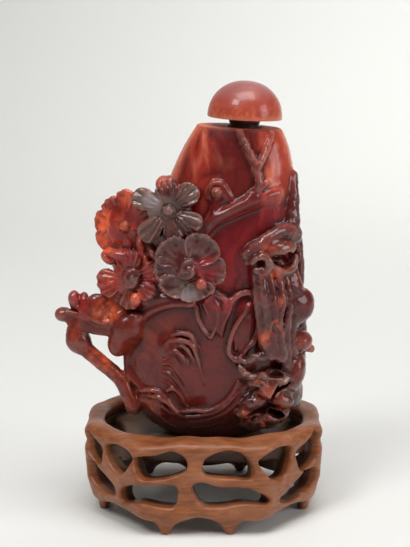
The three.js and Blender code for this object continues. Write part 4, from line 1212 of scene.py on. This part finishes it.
    def reach(self, way: float) -> float:
        """Gives how far the wall's foot is from the middle, in a direction in radians."""
        half_x, half_y = self.width / 2 - 0.7 * self.draw_side, self.depth / 2 - 0.7 * self.draw_front
        across, along = abs(math.sin(way)), -math.cos(way)
        fx = half_x * self.front_share
        sy = half_y * (self.side_share_back if along > 0 else self.side_share)
        nx, ny = half_y - sy, half_x - fx
        slant = (fx * nx + half_y * ny) / (across * nx + abs(along) * ny)
        return min(slant, half_x / max(across, 1e-6), half_y / max(abs(along), 1e-6))

    def foot(self, clay: Clay, direction: float, stout: float) -> None:
        """Draws one foot down from the wall, broad along the wall and thin through it.

        Args:
            clay: The stand.
            direction: Where it is, in degrees from the front towards +X.
            stout: How stout it is.
        """
        way = math.radians(direction)
        away = self.reach(way) - self.foot_inset
        centre = np.array([math.sin(way) * away, -math.cos(way) * away, 2.4])
        slices, (x, y, z) = clay.window(centre - 6.5, centre + 6.5)
        along = (x - centre[0]) * math.cos(way) + (y - centre[1]) * math.sin(way)
        out = (x - centre[0]) * math.sin(way) - (y - centre[1]) * math.cos(way)
        share = np.clip(z / (self.wall_foot + self.foot_root), 0, 1)
        broad = (self.foot_sole + (self.foot_top - self.foot_sole) * share ** 1.5) * stout
        thin = self.foot_sole + (self.wall / 2 - self.foot_sole) * share
        norm = np.sqrt((along / broad) ** 2 + (out / thin) ** 2)
        shape = soft_max((norm - 1) * thin, np.abs(z - self.foot_middle) - self.foot_middle, 0.5)
        clay.join(slices, shape.astype(np.float32), 1.8)

    def build(self, middle: Vector, step: float) -> bpy.types.Object:
        """Sculpts and meshes the stand.

        Args:
            middle: The stand's middle, on the floor, in metres.
            step: Size of a voxel, in millimetres.

        Returns:
            The stand.
        """
        half_x, half_y = self.width / 2, self.depth / 2
        clay = Clay((-half_x - 1, -half_y - 1, -1.0), (half_x + 1, half_y + 1, self.height + 1), step, 2)
        slices, (x, y, z) = clay.whole()
        draw = self.drawn_in(z)
        outer = self.eight_sided(x, y, half_x - self.draw_side * draw, half_y - self.draw_front * draw, 1.2)
        waist = self.waist[0] * np.exp(-((z - self.waist[1]) / self.waist[2]) ** 2)
        way = np.arctan2(x, -y)
        rise = -self.rim_wave * (0.5 - 0.5 * np.cos(6 * way + 0.6)) - 0.12 * np.cos(13 * way)
        body = soft_max(outer + waist, z - (self.height + rise), 2.2)
        drop = self.back_drop * np.clip(y / half_y, 0, 1) ** 2
        body = soft_max(body, self.wall_foot - drop - z + 0.4 * np.cos(7 * way), 1.4)
        room = self.eight_sided(x, y, half_x - self.wall - self.draw_side * draw,
                                half_y - self.wall - self.draw_front * draw, 1.0)
        room = soft_max(room, z - (self.height - self.rim_thick), 1.0)
        body = soft_max(body, -room, 0.9)
        clay.join(slices, body.astype(np.float32), 0.3)
        # the back repeats the front without the upper windows next to the sides
        windows = [*self.front_windows, *self.corner_windows]
        windows += [tuple((d + 180, up) for d, up in outline)
                    for k, outline in enumerate(windows) if k < 4 or (k - 4) % 3 != 1]
        windows += self.side_windows
        windows += [tuple((-d, up) for d, up in outline) for outline in self.side_windows]
        for outline in windows:
            self.window(clay, outline)
        pocket_x, pocket_y = half_x - self.rim_side, half_y - self.rim_front
        seat_top = self.height - self.recess
        ring = self.oval(x, y, pocket_x + self.collar, pocket_y + self.collar)
        collar = soft_max(ring, np.abs(z - (seat_top - self.seat + self.height - self.rim_thick) / 2)
                          - (self.height - self.rim_thick - seat_top + self.seat) / 2, 0.5)
        clay.join(slices, collar.astype(np.float32), 0.8)
        for direction, stout in self.feet:
            self.foot(clay, direction, stout)
        pocket = soft_max(self.oval(x, y, pocket_x, pocket_y), seat_top - z, 0.5)
        clay.carve(slices, pocket.astype(np.float32), 1.3)
        for end in (-1, 1):
            gap = np.sqrt(((x - end * pocket_x) / self.end_gap[0]) ** 2 + (y / self.end_gap[1]) ** 2) - 1
            gap = soft_max(gap * self.end_gap[0], self.oval(x, y, pocket_x, pocket_y), 0.6)
            gap = soft_max(gap, np.abs(z - seat_top + self.seat / 2) - self.seat / 2 - 1.0, 0.3)
            clay.carve(slices, gap.astype(np.float32), 0.6)
        clay.distance = np.maximum(clay.distance + 0.06 * gnarl(x, y, z, 6.5), -z).astype(np.float32)
        dust = np.clip((pocket_x - 1 - np.abs(x)) / 3, 0, 1) * np.clip((pocket_y - 0.5 - np.abs(y)) / 2, 0, 1)
        clay.tints[0][:] = dust * np.clip((seat_top + 1.2 - z) / 1.0, 0, 1)
        clay.shade(1.3)
        # painted shade: the wall's inner faces, more than a millimetre in from its outer face and below the
        # rim, count as closed in, so that the finish darkens them
        inner = np.clip((-outer - 1.0) / 1.4, 0, 1) * np.clip((self.height - 2.6 - z) / 1.0, 0, 1)
        clay.tints[1] = np.maximum(clay.tints[1], 0.45 + 0.27 * inner * (inner > 0)).astype(np.float32)
        return clay.mesh("root_stand", middle, self.faces)


# Finishes


class Wiring:
    """A node tree that is being filled."""

    def __init__(self, tree: bpy.types.NodeTree) -> None:
        """Keeps the tree."""
        self.tree = tree

    def put(self, value: "Value | float | Colour", socket: bpy.types.NodeSocket) -> None:
        """Feeds a socket.

        Args:
            value: A value to link, or a number or colour to set.
            socket: The socket.
        """
        if isinstance(value, Value):
            self.tree.links.new(value.socket, socket)
        else:
            socket.default_value = (*value, 1.0) if socket.type == "RGBA" else value

    def node(self, kind: str, output: str | int = 0, **settings: object) -> "Value":
        """Adds a node.

        Args:
            kind: Its type, without the leading ShaderNode.
            output: The output that is wanted.
            settings: Properties to set. A name that starts with i_ feeds an input instead.

        Returns:
            That output.
        """
        made = self.tree.nodes.new("ShaderNode" + kind)
        for name, value in settings.items():
            if name.startswith("i_"):
                self.put(value, made.inputs[name[2:].replace("_", " ")])
            else:
                setattr(made, name, value)
        return Value(self, made.outputs[output])


class Value:
    """A node's output, with the sums and mixes that the finishes need."""

    def __init__(self, wiring: Wiring, socket: bpy.types.NodeSocket) -> None:
        """Keeps the output and its tree."""
        self.wiring, self.socket = wiring, socket

    def math(self, kind: str, other: "Value | float" = 0.0, swap: bool = False) -> "Value":
        """Adds a math node.

        Args:
            kind: The operation.
            other: The other number.
            swap: Whether the other number comes first.

        Returns:
            Its output.
        """
        made = self.wiring.node("Math", operation=kind)
        for value, socket in zip((other, self) if swap else (self, other), made.socket.node.inputs):
            self.wiring.put(value, socket)
        return made

    def __add__(self, other: "Value | float") -> "Value":
        """Adds a number."""
        return self.math("ADD", other)

    def __sub__(self, other: "Value | float") -> "Value":
        """Takes a number away."""
        return self.math("SUBTRACT", other)

    def __rsub__(self, other: float) -> "Value":
        """Takes this value from a number."""
        return self.math("SUBTRACT", other, True)

    def __mul__(self, other: "Value | float") -> "Value":
        """Multiplies by a number."""
        return self.math("MULTIPLY", other)

    def __truediv__(self, other: float) -> "Value":
        """Divides by a number."""
        return self.math("DIVIDE", other)

    def __abs__(self) -> "Value":
        """Drops the sign."""
        return self.math("ABSOLUTE")

    def held(self) -> "Value":
        """Holds the sum that made this value between 0 and 1."""
        self.socket.node.use_clamp = True
        return self

    def other(self, name: str) -> "Value":
        """Gives another output of the same node."""
        return Value(self.wiring, self.socket.node.outputs[name])

    def ramp(self, low: float, high: float) -> "Value":
        """Maps the value smoothly, so that low becomes 0 and high becomes 1."""
        return self.wiring.node("MapRange", "Result", interpolation_type="SMOOTHSTEP", i_From_Min=low,
                                i_From_Max=high, i_Value=self)

    def mix(self, first: "Value | Colour", second: "Value | Colour") -> "Value":
        """Mixes two colours, with this value as the share of the second.

        Args:
            first: The first colour.
            second: The second colour.

        Returns:
            The mixed colour.
        """
        made = self.wiring.node("Mix", 2, data_type="RGBA")
        for number, value in ((0, self), (6, first), (7, second)):
            self.wiring.put(value, made.socket.node.inputs[number])
        return made

    def stretched(self, scale: Place) -> "Value":
        """Scales coordinates."""
        return self.wiring.node("Mapping", "Vector", i_Vector=self, i_Scale=scale)

    def noise(self, scale: "Value | float", detail: float = 3.0, rough: float = 0.5,
              distort: "Value | float" = 0.0) -> "Value":
        """Adds a noise texture at these coordinates.

        Args:
            scale: Its scale, in lumps a metre.
            detail: Its octaves.
            rough: How strong the finer ones are.
            distort: How far it is warped.

        Returns:
            Its value.
        """
        return self.wiring.node("TexNoise", "Fac", i_Vector=self, i_Scale=scale, i_Detail=detail,
                                i_Roughness=rough, i_Distortion=distort)


class SharedEffects:
    """Effects that more than one finish uses, each built once as a node group."""

    def __init__(self) -> None:
        """Builds the groups."""
        self.polish = self._group(
            "hand_polish", {"Roughness": 0.2, "Uneven": 0.1, "Ripple": 1.0}, self._polish)
        self.clouds = self._group("stone_clouds", {"Scale": 60.0, "Warp": 1.0}, self._clouds)

    @staticmethod
    def _group(name: str, inputs: dict[str, float],
               fill: Callable[..., dict[str, Value]]) -> bpy.types.NodeTree:
        """Makes a group with number sockets.

        Args:
            name: Its name.
            inputs: Its inputs and their values.
            fill: Makes its outputs from the coordinates and the inputs.

        Returns:
            The group.
        """
        tree = bpy.data.node_groups.new(name, "ShaderNodeTree")
        for key, value in inputs.items():
            tree.interface.new_socket(key, in_out="INPUT", socket_type="NodeSocketFloat").default_value = value
        wiring, start = Wiring(tree), tree.nodes.new("NodeGroupInput")
        made = fill(wiring.node("TexCoord", "Object"), *(Value(wiring, start.outputs[key]) for key in inputs))
        for key in made:
            tree.interface.new_socket(key, in_out="OUTPUT", socket_type="NodeSocketFloat")
        end = tree.nodes.new("NodeGroupOutput")
        for key, value in made.items():
            wiring.put(value, end.inputs[key])
        return tree

    @staticmethod
    def _polish(where: Value, roughness: Value, uneven: Value, ripple: Value) -> dict[str, Value]:
        """Makes the polish of handled work: uneven gloss, fine scratches and ripples.

        Args:
            where: The coordinates.
            roughness: Its mean roughness.
            uneven: How far the roughness varies.
            ripple: How strong its relief is.

        Returns:
            The roughness and the height.
        """
        broad, fine = where.noise(140.0, 2.0), where.noise(1400.0, 4.0, 0.6)
        marks = where.stretched((1.0, 1.0, 0.12)).noise(5200.0, 2.0).ramp(0.62, 0.75)
        gloss = (roughness + ((broad + fine - 1.0) * uneven + marks * 0.05)).held()
        return {"Roughness": gloss, "Height": (broad * 0.8 + fine * 0.12 - marks * 0.03) * ripple}

    @staticmethod
    def _clouds(where: Value, scale: Value, warp: Value) -> dict[str, Value]:
        """Makes the soft clouds and the thin darker veins of coloured stone.

        Args:
            where: The coordinates.
            scale: Their scale.
            warp: How far the clouds are warped.

        Returns:
            The clouds and the veins.
        """
        ridge = abs(where.noise(scale * 0.7, 3.0, 0.5, 1.8) - 0.5)
        vein = 1.0 - ridge.ramp(0.0, 0.045)
        return {"Cloud": where.noise(scale, 4.0, 0.55, warp).ramp(0.3, 0.72), "Vein": vein}


class Finish:
    """A material that is being made."""

    def __init__(self, name: str, effects: SharedEffects | None = None) -> None:
        """Makes the bare material.

        Args:
            name: Its name.
            effects: The shared groups, where it uses them.
        """
        self.material = bpy.data.materials.new(name)
        self.material.use_nodes = True
        self.effects = effects
        self.wiring = Wiring(self.material.node_tree)

    def feed(self, **inputs: Value | float | Colour) -> bpy.types.Material:
        """Feeds the shader's inputs, and gives the material."""
        shader = self.material.node_tree.nodes["Principled BSDF"]
        for name, value in inputs.items():
            self.wiring.put(value, shader.inputs[name.replace("_", " ")])
        return self.material

    def polished(self, roughness: Value | float, uneven: float, ripple: float, relief: Value | float,
                 strength: float, distance: float) -> dict[str, Value]:
        """Puts in the polish and the bump.

        Args:
            roughness: The mean roughness.
            uneven: How far it varies.
            ripple: How strong the polish's relief is.
            relief: More relief.
            strength: The bump's strength.
            distance: The bump's height, in metres.

        Returns:
            What the shader's roughness and normal are fed with.
        """
        polish = self.wiring.node("Group", "Roughness", node_tree=self.effects.polish, i_Roughness=roughness,
                                  i_Uneven=uneven, i_Ripple=ripple)
        height = polish.other("Height") + relief
        bump = self.wiring.node("Bump", "Normal", i_Strength=strength, i_Distance=distance, i_Height=height)
        return {"Roughness": polish, "Normal": bump}


@dataclass(frozen=True)
class CarvedAgate:
    """Red agate with a painted orange glow where it is thin and clear, and dark skin left on the carving, with
    painted highlights on its ridges and painted shade in its grooves.
    """

    top: Colour = (0.32, 0.03, 0.017)
    bright: Colour = (0.72, 0.2, 0.12)
    middle: Colour = (0.27, 0.014, 0.018)
    deep: Colour = (0.06, 0.004, 0.007)
    low: Colour = (0.135, 0.015, 0.012)
    foot: Colour = (0.045, 0.005, 0.005)
    skin: Colour = (0.046, 0.0085, 0.0075)
    pale_skin_and_highlight: Colour = (0.3, 0.15, 0.12)
    bloom: Colour = (0.2, 0.15, 0.12)
    frost_and_highlight: Colour = (0.3, 0.27, 0.29)
    fleck: Colour = (0.3, 0.05, 0.018)
    glow: Colour = (0.9, 0.155, 0.05)
    height: float = 0.0653
    base: float = 0.0163
    heart: float = 0.009

    def make(self, effects: SharedEffects) -> bpy.types.Material:
        """Makes the material.

        Args:
            effects: The shared groups.

        Returns:
            The material.
        """
        finish = Finish("carved_agate", effects)
        node = finish.wiring.node
        where = node("TexCoord", "Object")
        aside = node("SeparateXYZ", "X", i_Vector=where)
        share = (aside.other("Z") - self.base) / self.height
        cloud = node("Group", "Cloud", node_tree=effects.clouds, i_Scale=75.0)
        up = share + (cloud - 0.5) * 0.16
        # the clear stone, from its foot to its mouth
        body = up.ramp(-0.02, 0.2).mix(self.foot, self.low)
        body = up.ramp(0.44, 0.54).mix(body, self.middle)
        body = up.ramp(0.7, 0.86).mix(body, self.top)
        streak = where.stretched((1.0, 1.0, 0.3)).noise(230.0, 3.0, 0.6, 0.5)
        body = (up.ramp(0.72, 0.95) * streak.ramp(0.5, 0.72) * 0.7).mix(body, self.bright)
        dark = (streak.ramp(0.52, 0.36) + abs(aside - self.heart).ramp(0.0062, 0.0018)).held()
        body = (dark * up.ramp(0.6, 0.76) * 0.72).mix(body, self.deep)
        body = (cloud.other("Vein") * 0.35).mix(body, self.deep)
        body = (cloud.ramp(0.45, 0.1) * 0.6).mix(body, self.deep)
        # painted glow: the upper stone is brightened where its surface turns away from view, standing in for
        # light through its thin edges
        thin = node("LayerWeight", "Facing", i_Blend=0.4).ramp(0.15, 0.75)
        body = (thin * up.ramp(0.55, 0.85) * 0.75).mix(body, self.bright)
        # the skin with its bloom, frost and flecks, a painted highlight on the ridges, painted shade in the
        # dark grooves, and a painted glow in the thin places
        skin, glow, shut = (node("Attribute", "Fac", attribute_name=f"tint_{k}") for k in range(3))
        mottle = where.noise(420.0, 3.0, 0.6)
        ragged = (skin + (mottle - 0.5) * 0.6).ramp(0.25, 0.8)
        hide = (mottle.ramp(0.42, 0.7) * cloud.ramp(0.2, 0.8) * 0.36).mix(self.skin, self.pale_skin_and_highlight)
        hide = (skin.ramp(0.84, 0.92) * 0.5).mix(hide, self.bloom)
        # where the skin is thickest, as on the ribbed blossom's upper left petal, it turns frost grey: partly
        # its own colour, partly a painted highlight
        hide = (skin.ramp(0.95, 1.08) * 0.7).mix(hide, self.frost_and_highlight)
        colour = (ragged * 0.88).mix(body, hide)
        ridge = shut.ramp(0.45, 0.3)
        # painted highlight: the ridges are lightened towards the pale skin colour
        colour = (ridge * 0.3).mix(colour, self.pale_skin_and_highlight)
        fleck = where.noise(330.0, 3.0, 0.6, 0.6).ramp(0.56, 0.68) * skin.ramp(0.46, 0.58)
        colour = (fleck * up.ramp(0.75, 0.35)).mix(colour, self.fleck)
        # painted shade: the grooves and recesses are darkened with the foot's dark colour
        colour = (shut.ramp(0.52, 0.64) * 0.85).mix(colour, self.foot)
        colour = (glow * (mottle.ramp(0.4, 0.6) + 0.25)).held().mix(colour, self.glow)
        # the gloss, which the rim of the mouth lacks
        lip = share.ramp(0.985, 0.96)
        bark = where.noise(700.0, 4.0, 0.6) * ragged * 1.1
        surface = finish.polished(ragged * 0.1 + (0.5 - lip * 0.25), 0.12, 1.0, bark, 0.5, 0.0004)
        return finish.feed(Base_Color=colour, Coat_Weight=lip * (ragged * 0.4 + 0.34 + ridge * 0.4).held(),
                           Coat_Roughness=0.06, Specular_IOR_Level=0.2, IOR=1.5, Subsurface_Weight=0.3,
                           Subsurface_Radius=(1.0, 0.15, 0.07), Subsurface_Scale=0.003, **surface)


@dataclass(frozen=True)
class ClearAgate:
    """The stopper's even orange-red agate, paler at its edge with a painted glow of light through the thin
    stone, and with a painted sheen on its top.
    """

    deep: Colour = (0.33, 0.038, 0.022)
    pale: Colour = (0.52, 0.12, 0.065)
    edge: Colour = (0.62, 0.2, 0.11)
    painted_sheen: Colour = (0.3, 0.14, 0.145)
    amber: Colour = (0.58, 0.14, 0.055)
    rim: float = 0.0836
    height: float = 0.0073

    def make(self, effects: SharedEffects) -> bpy.types.Material:
        """Makes the material.

        Args:
            effects: The shared groups.

        Returns:
            The material.
        """
        finish = Finish("clear_agate", effects)
        node = finish.wiring.node
        where = node("TexCoord", "Object")
        up = (node("SeparateXYZ", "Z", i_Vector=where) - self.rim) / self.height
        colour = node("Group", "Cloud", node_tree=effects.clouds, i_Scale=110.0).mix(self.deep, self.pale)
        # painted sheen: the top of the dome is turned a pale greyish pink
        colour = (up.ramp(0.3, 0.9) * 0.7).mix(colour, self.painted_sheen)
        speck = where.noise(800.0, 3.0, 0.6).ramp(0.4, 0.66)
        colour = (up.ramp(0.5, 0.1) * speck * 0.8).mix(colour, self.amber)
        # painted glow: the thin lower edge is lightened to orange, as if light were passing through it
        colour = (up.ramp(0.12, 0.0) * 0.45).mix(colour, self.edge)
        return finish.feed(Base_Color=colour, Coat_Weight=0.35, Coat_Roughness=0.06, Specular_IOR_Level=0.3,
                           IOR=1.5, Subsurface_Weight=0.5, Subsurface_Radius=(1.0, 0.25, 0.1),
                           Subsurface_Scale=0.005, **finish.polished(0.36, 0.1, 0.6, 0.0, 0.12, 0.0002))


@dataclass(frozen=True)
class WaxedWood:
    """Carved wood with a drawn-out grain, lighter on its ridges with wear and a painted highlight, dark with
    painted shade and dusty in its hollows.
    """

    name: str
    dark: Colour
    light: Colour
    worn_and_highlight: Colour
    dust: Colour = (0.27, 0.165, 0.11)
    hollow: Colour = (0.02, 0.008, 0.006)
    roughness: float = 0.4

    def make(self, effects: SharedEffects) -> bpy.types.Material:
        """Makes the material.

        Args:
            effects: The shared groups.

        Returns:
            The material.
        """
        finish = Finish(self.name, effects)
        node = finish.wiring.node
        where = node("TexCoord", "Object")
        grain = where.stretched((0.16, 0.5, 1.0)).noise(1500.0, 5.0, 0.6, 0.4)
        broad = where.noise(95.0, 3.0, 0.5, 0.8)
        colour = grain.ramp(0.34, 0.68).mix(self.dark, self.light)
        colour = (broad.ramp(0.4, 0.75) * 0.4).mix(colour, self.worn_and_highlight)
        dusty, shut = (node("Attribute", "Fac", attribute_name=f"tint_{k}") for k in range(2))
        # lighter on the ridges: wear and a painted highlight
        colour = (shut.ramp(0.44, 0.3) * 0.5).mix(colour, self.worn_and_highlight)
        # painted shade: the grooves, and the wall's inner faces, are darkened towards near black
        colour = (shut.ramp(0.52, 0.68) * 0.85).mix(colour, self.hollow)
        patch = dusty.ramp(0.0, 1.0) * broad.ramp(0.2, 0.6)
        colour = (patch * 0.7).mix(colour, self.dust)
        surface = finish.polished(patch * 0.35 + self.roughness, 0.16, 1.0, grain * 0.5, 0.3, 0.0002)
        return finish.feed(Base_Color=colour, Specular_IOR_Level=0.3, Coat_Weight=0.12, Coat_Roughness=0.25,
                           **surface)


# The setting


@dataclass
class Studio:
    """A pale floor that sweeps up, soft lights and the camera."""

    eye: Place = (0.0003, -0.28, 0.108)
    down: float = 11.6
    lens: float = 89.1

    def floor(self) -> None:
        """Lays the floor, which is no part of the object."""
        mesh = bpy.data.meshes.new("floor")
        rows = [(-6.0, 0.0), (0.35, 0.0)]
        rows += [(0.35 + 0.35 * math.sin(a), 0.35 - 0.35 * math.cos(a)) for a in np.radians(range(6, 91, 6))]
        rows += [(0.7, 1.6)]
        verts = [(x, y, z) for y, z in rows for x in (-5.0, 5.0)]
        mesh.from_pydata(verts, [], [(2 * k, 2 * k + 1, 2 * k + 3, 2 * k + 2) for k in range(len(rows) - 1)])
        mesh.polygons.foreach_set("use_smooth", [True] * len(mesh.polygons))
        mesh.materials.append(Finish("pale_floor").feed(Base_Color=(0.8, 0.8, 0.775), Roughness=0.75))
        put_in_scene("floor", mesh)

    def light(self, name: str, at: Place, aim: Place, size: tuple[float, float], power: float,
              spread: float = 180.0) -> None:
        """Hangs one soft light.

        Args:
            name: Its name.
            at: Its place.
            aim: What it points at.
            size: Its width and height, in metres.
            power: Its power, in watts.
            spread: How wide it spreads, in degrees.
        """
        data = bpy.data.lights.new(name, "AREA")
        data.shape = "RECTANGLE"
        data.size, data.size_y = size
        data.energy = power
        data.spread = math.radians(spread)
        lamp = put_in_scene(name, data)
        lamp.location = at
        lamp.rotation_euler = (Vector(aim) - Vector(at)).to_track_quat("-Z", "Y").to_euler()

    def build(self, middle: Vector) -> None:
        """Sets up everything round the object.

        Args:
            middle: The stand's middle, on the floor.
        """
        self.floor()
        self.light("key", (-0.3, -0.38, 0.62), (0, 0, 0.04), (0.22, 0.22), 2.1)
        self.light("fill", (0.5, -0.25, 0.25), (0, 0, 0.04), (0.25, 0.3), 1.1)
        self.light("top", (0.04, -0.14, 0.6), (0, 0, 0.04), (0.4, 0.3), 2.3)
        self.light("back", (0.3, 0.5, 0.8), (0.3, 0.55, 0), (0.6, 0.4), 0.98, 75.0)
        scene = bpy.context.scene
        scene.world = bpy.data.worlds.new("room")
        scene.world.use_nodes = True
        room = scene.world.node_tree.nodes["Background"].inputs
        room["Color"].default_value = (0.9, 0.89, 0.86, 1.0)
        room["Strength"].default_value = 0.18
        data = bpy.data.cameras.new("camera")
        data.sensor_width = data.sensor_height = 36.0
        data.sensor_fit = "AUTO"
        data.lens = self.lens
        data.clip_start = 0.01
        scene.camera = put_in_scene("camera", data)
        scene.camera.location = Vector(self.eye) + middle
        scene.camera.rotation_euler = (math.radians(90 - self.down), 0, 0)
        scene.view_settings.view_transform = "Standard"


def dress(piece: bpy.types.Object, material: bpy.types.Material, node: str) -> None:
    """Gives a piece its finish and its place in the frame.

    Args:
        piece: The piece.
        material: Its material.
        node: The CAD node that it stands for.
    """
    piece.data.materials.clear()
    piece.data.materials.append(material)
    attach(piece, "root")
    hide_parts(node)
    log.info("%s: %d faces, for node %s", piece.name, len(piece.data.polygons), node)


def main() -> None:
    """Builds the whole scene, piece by piece."""
    logging.basicConfig(level=logging.INFO, format="%(name)s: %(message)s")
    low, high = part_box("stand")
    middle = Vector(((low.x + high.x) / 2, (low.y + high.y) / 2, 0.0))
    base = middle + Vector((0, 0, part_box("bottle")[0].z))
    step = 0.25
    effects = SharedEffects()
    Studio().build(middle)
    carved = CarvedBottle()
    dress(carved.build(base, step), CarvedAgate().make(effects), "bottle")
    dome, plug = Stopper().build(carved.mouth(base))
    dress(dome, ClearAgate().make(effects), "stopper")
    dark = WaxedWood("plug_wood", (0.012, 0.005, 0.004), (0.035, 0.012, 0.008), (0.07, 0.025, 0.015))
    dress(plug, dark.make(effects), "plug")
    root = WaxedWood("root_wood", (0.18, 0.055, 0.02), (0.31, 0.098, 0.035), (0.44, 0.185, 0.092))
    dress(RootStand().build(middle, step), root.make(effects), "stand")


if __name__ == "__main__":
    main()
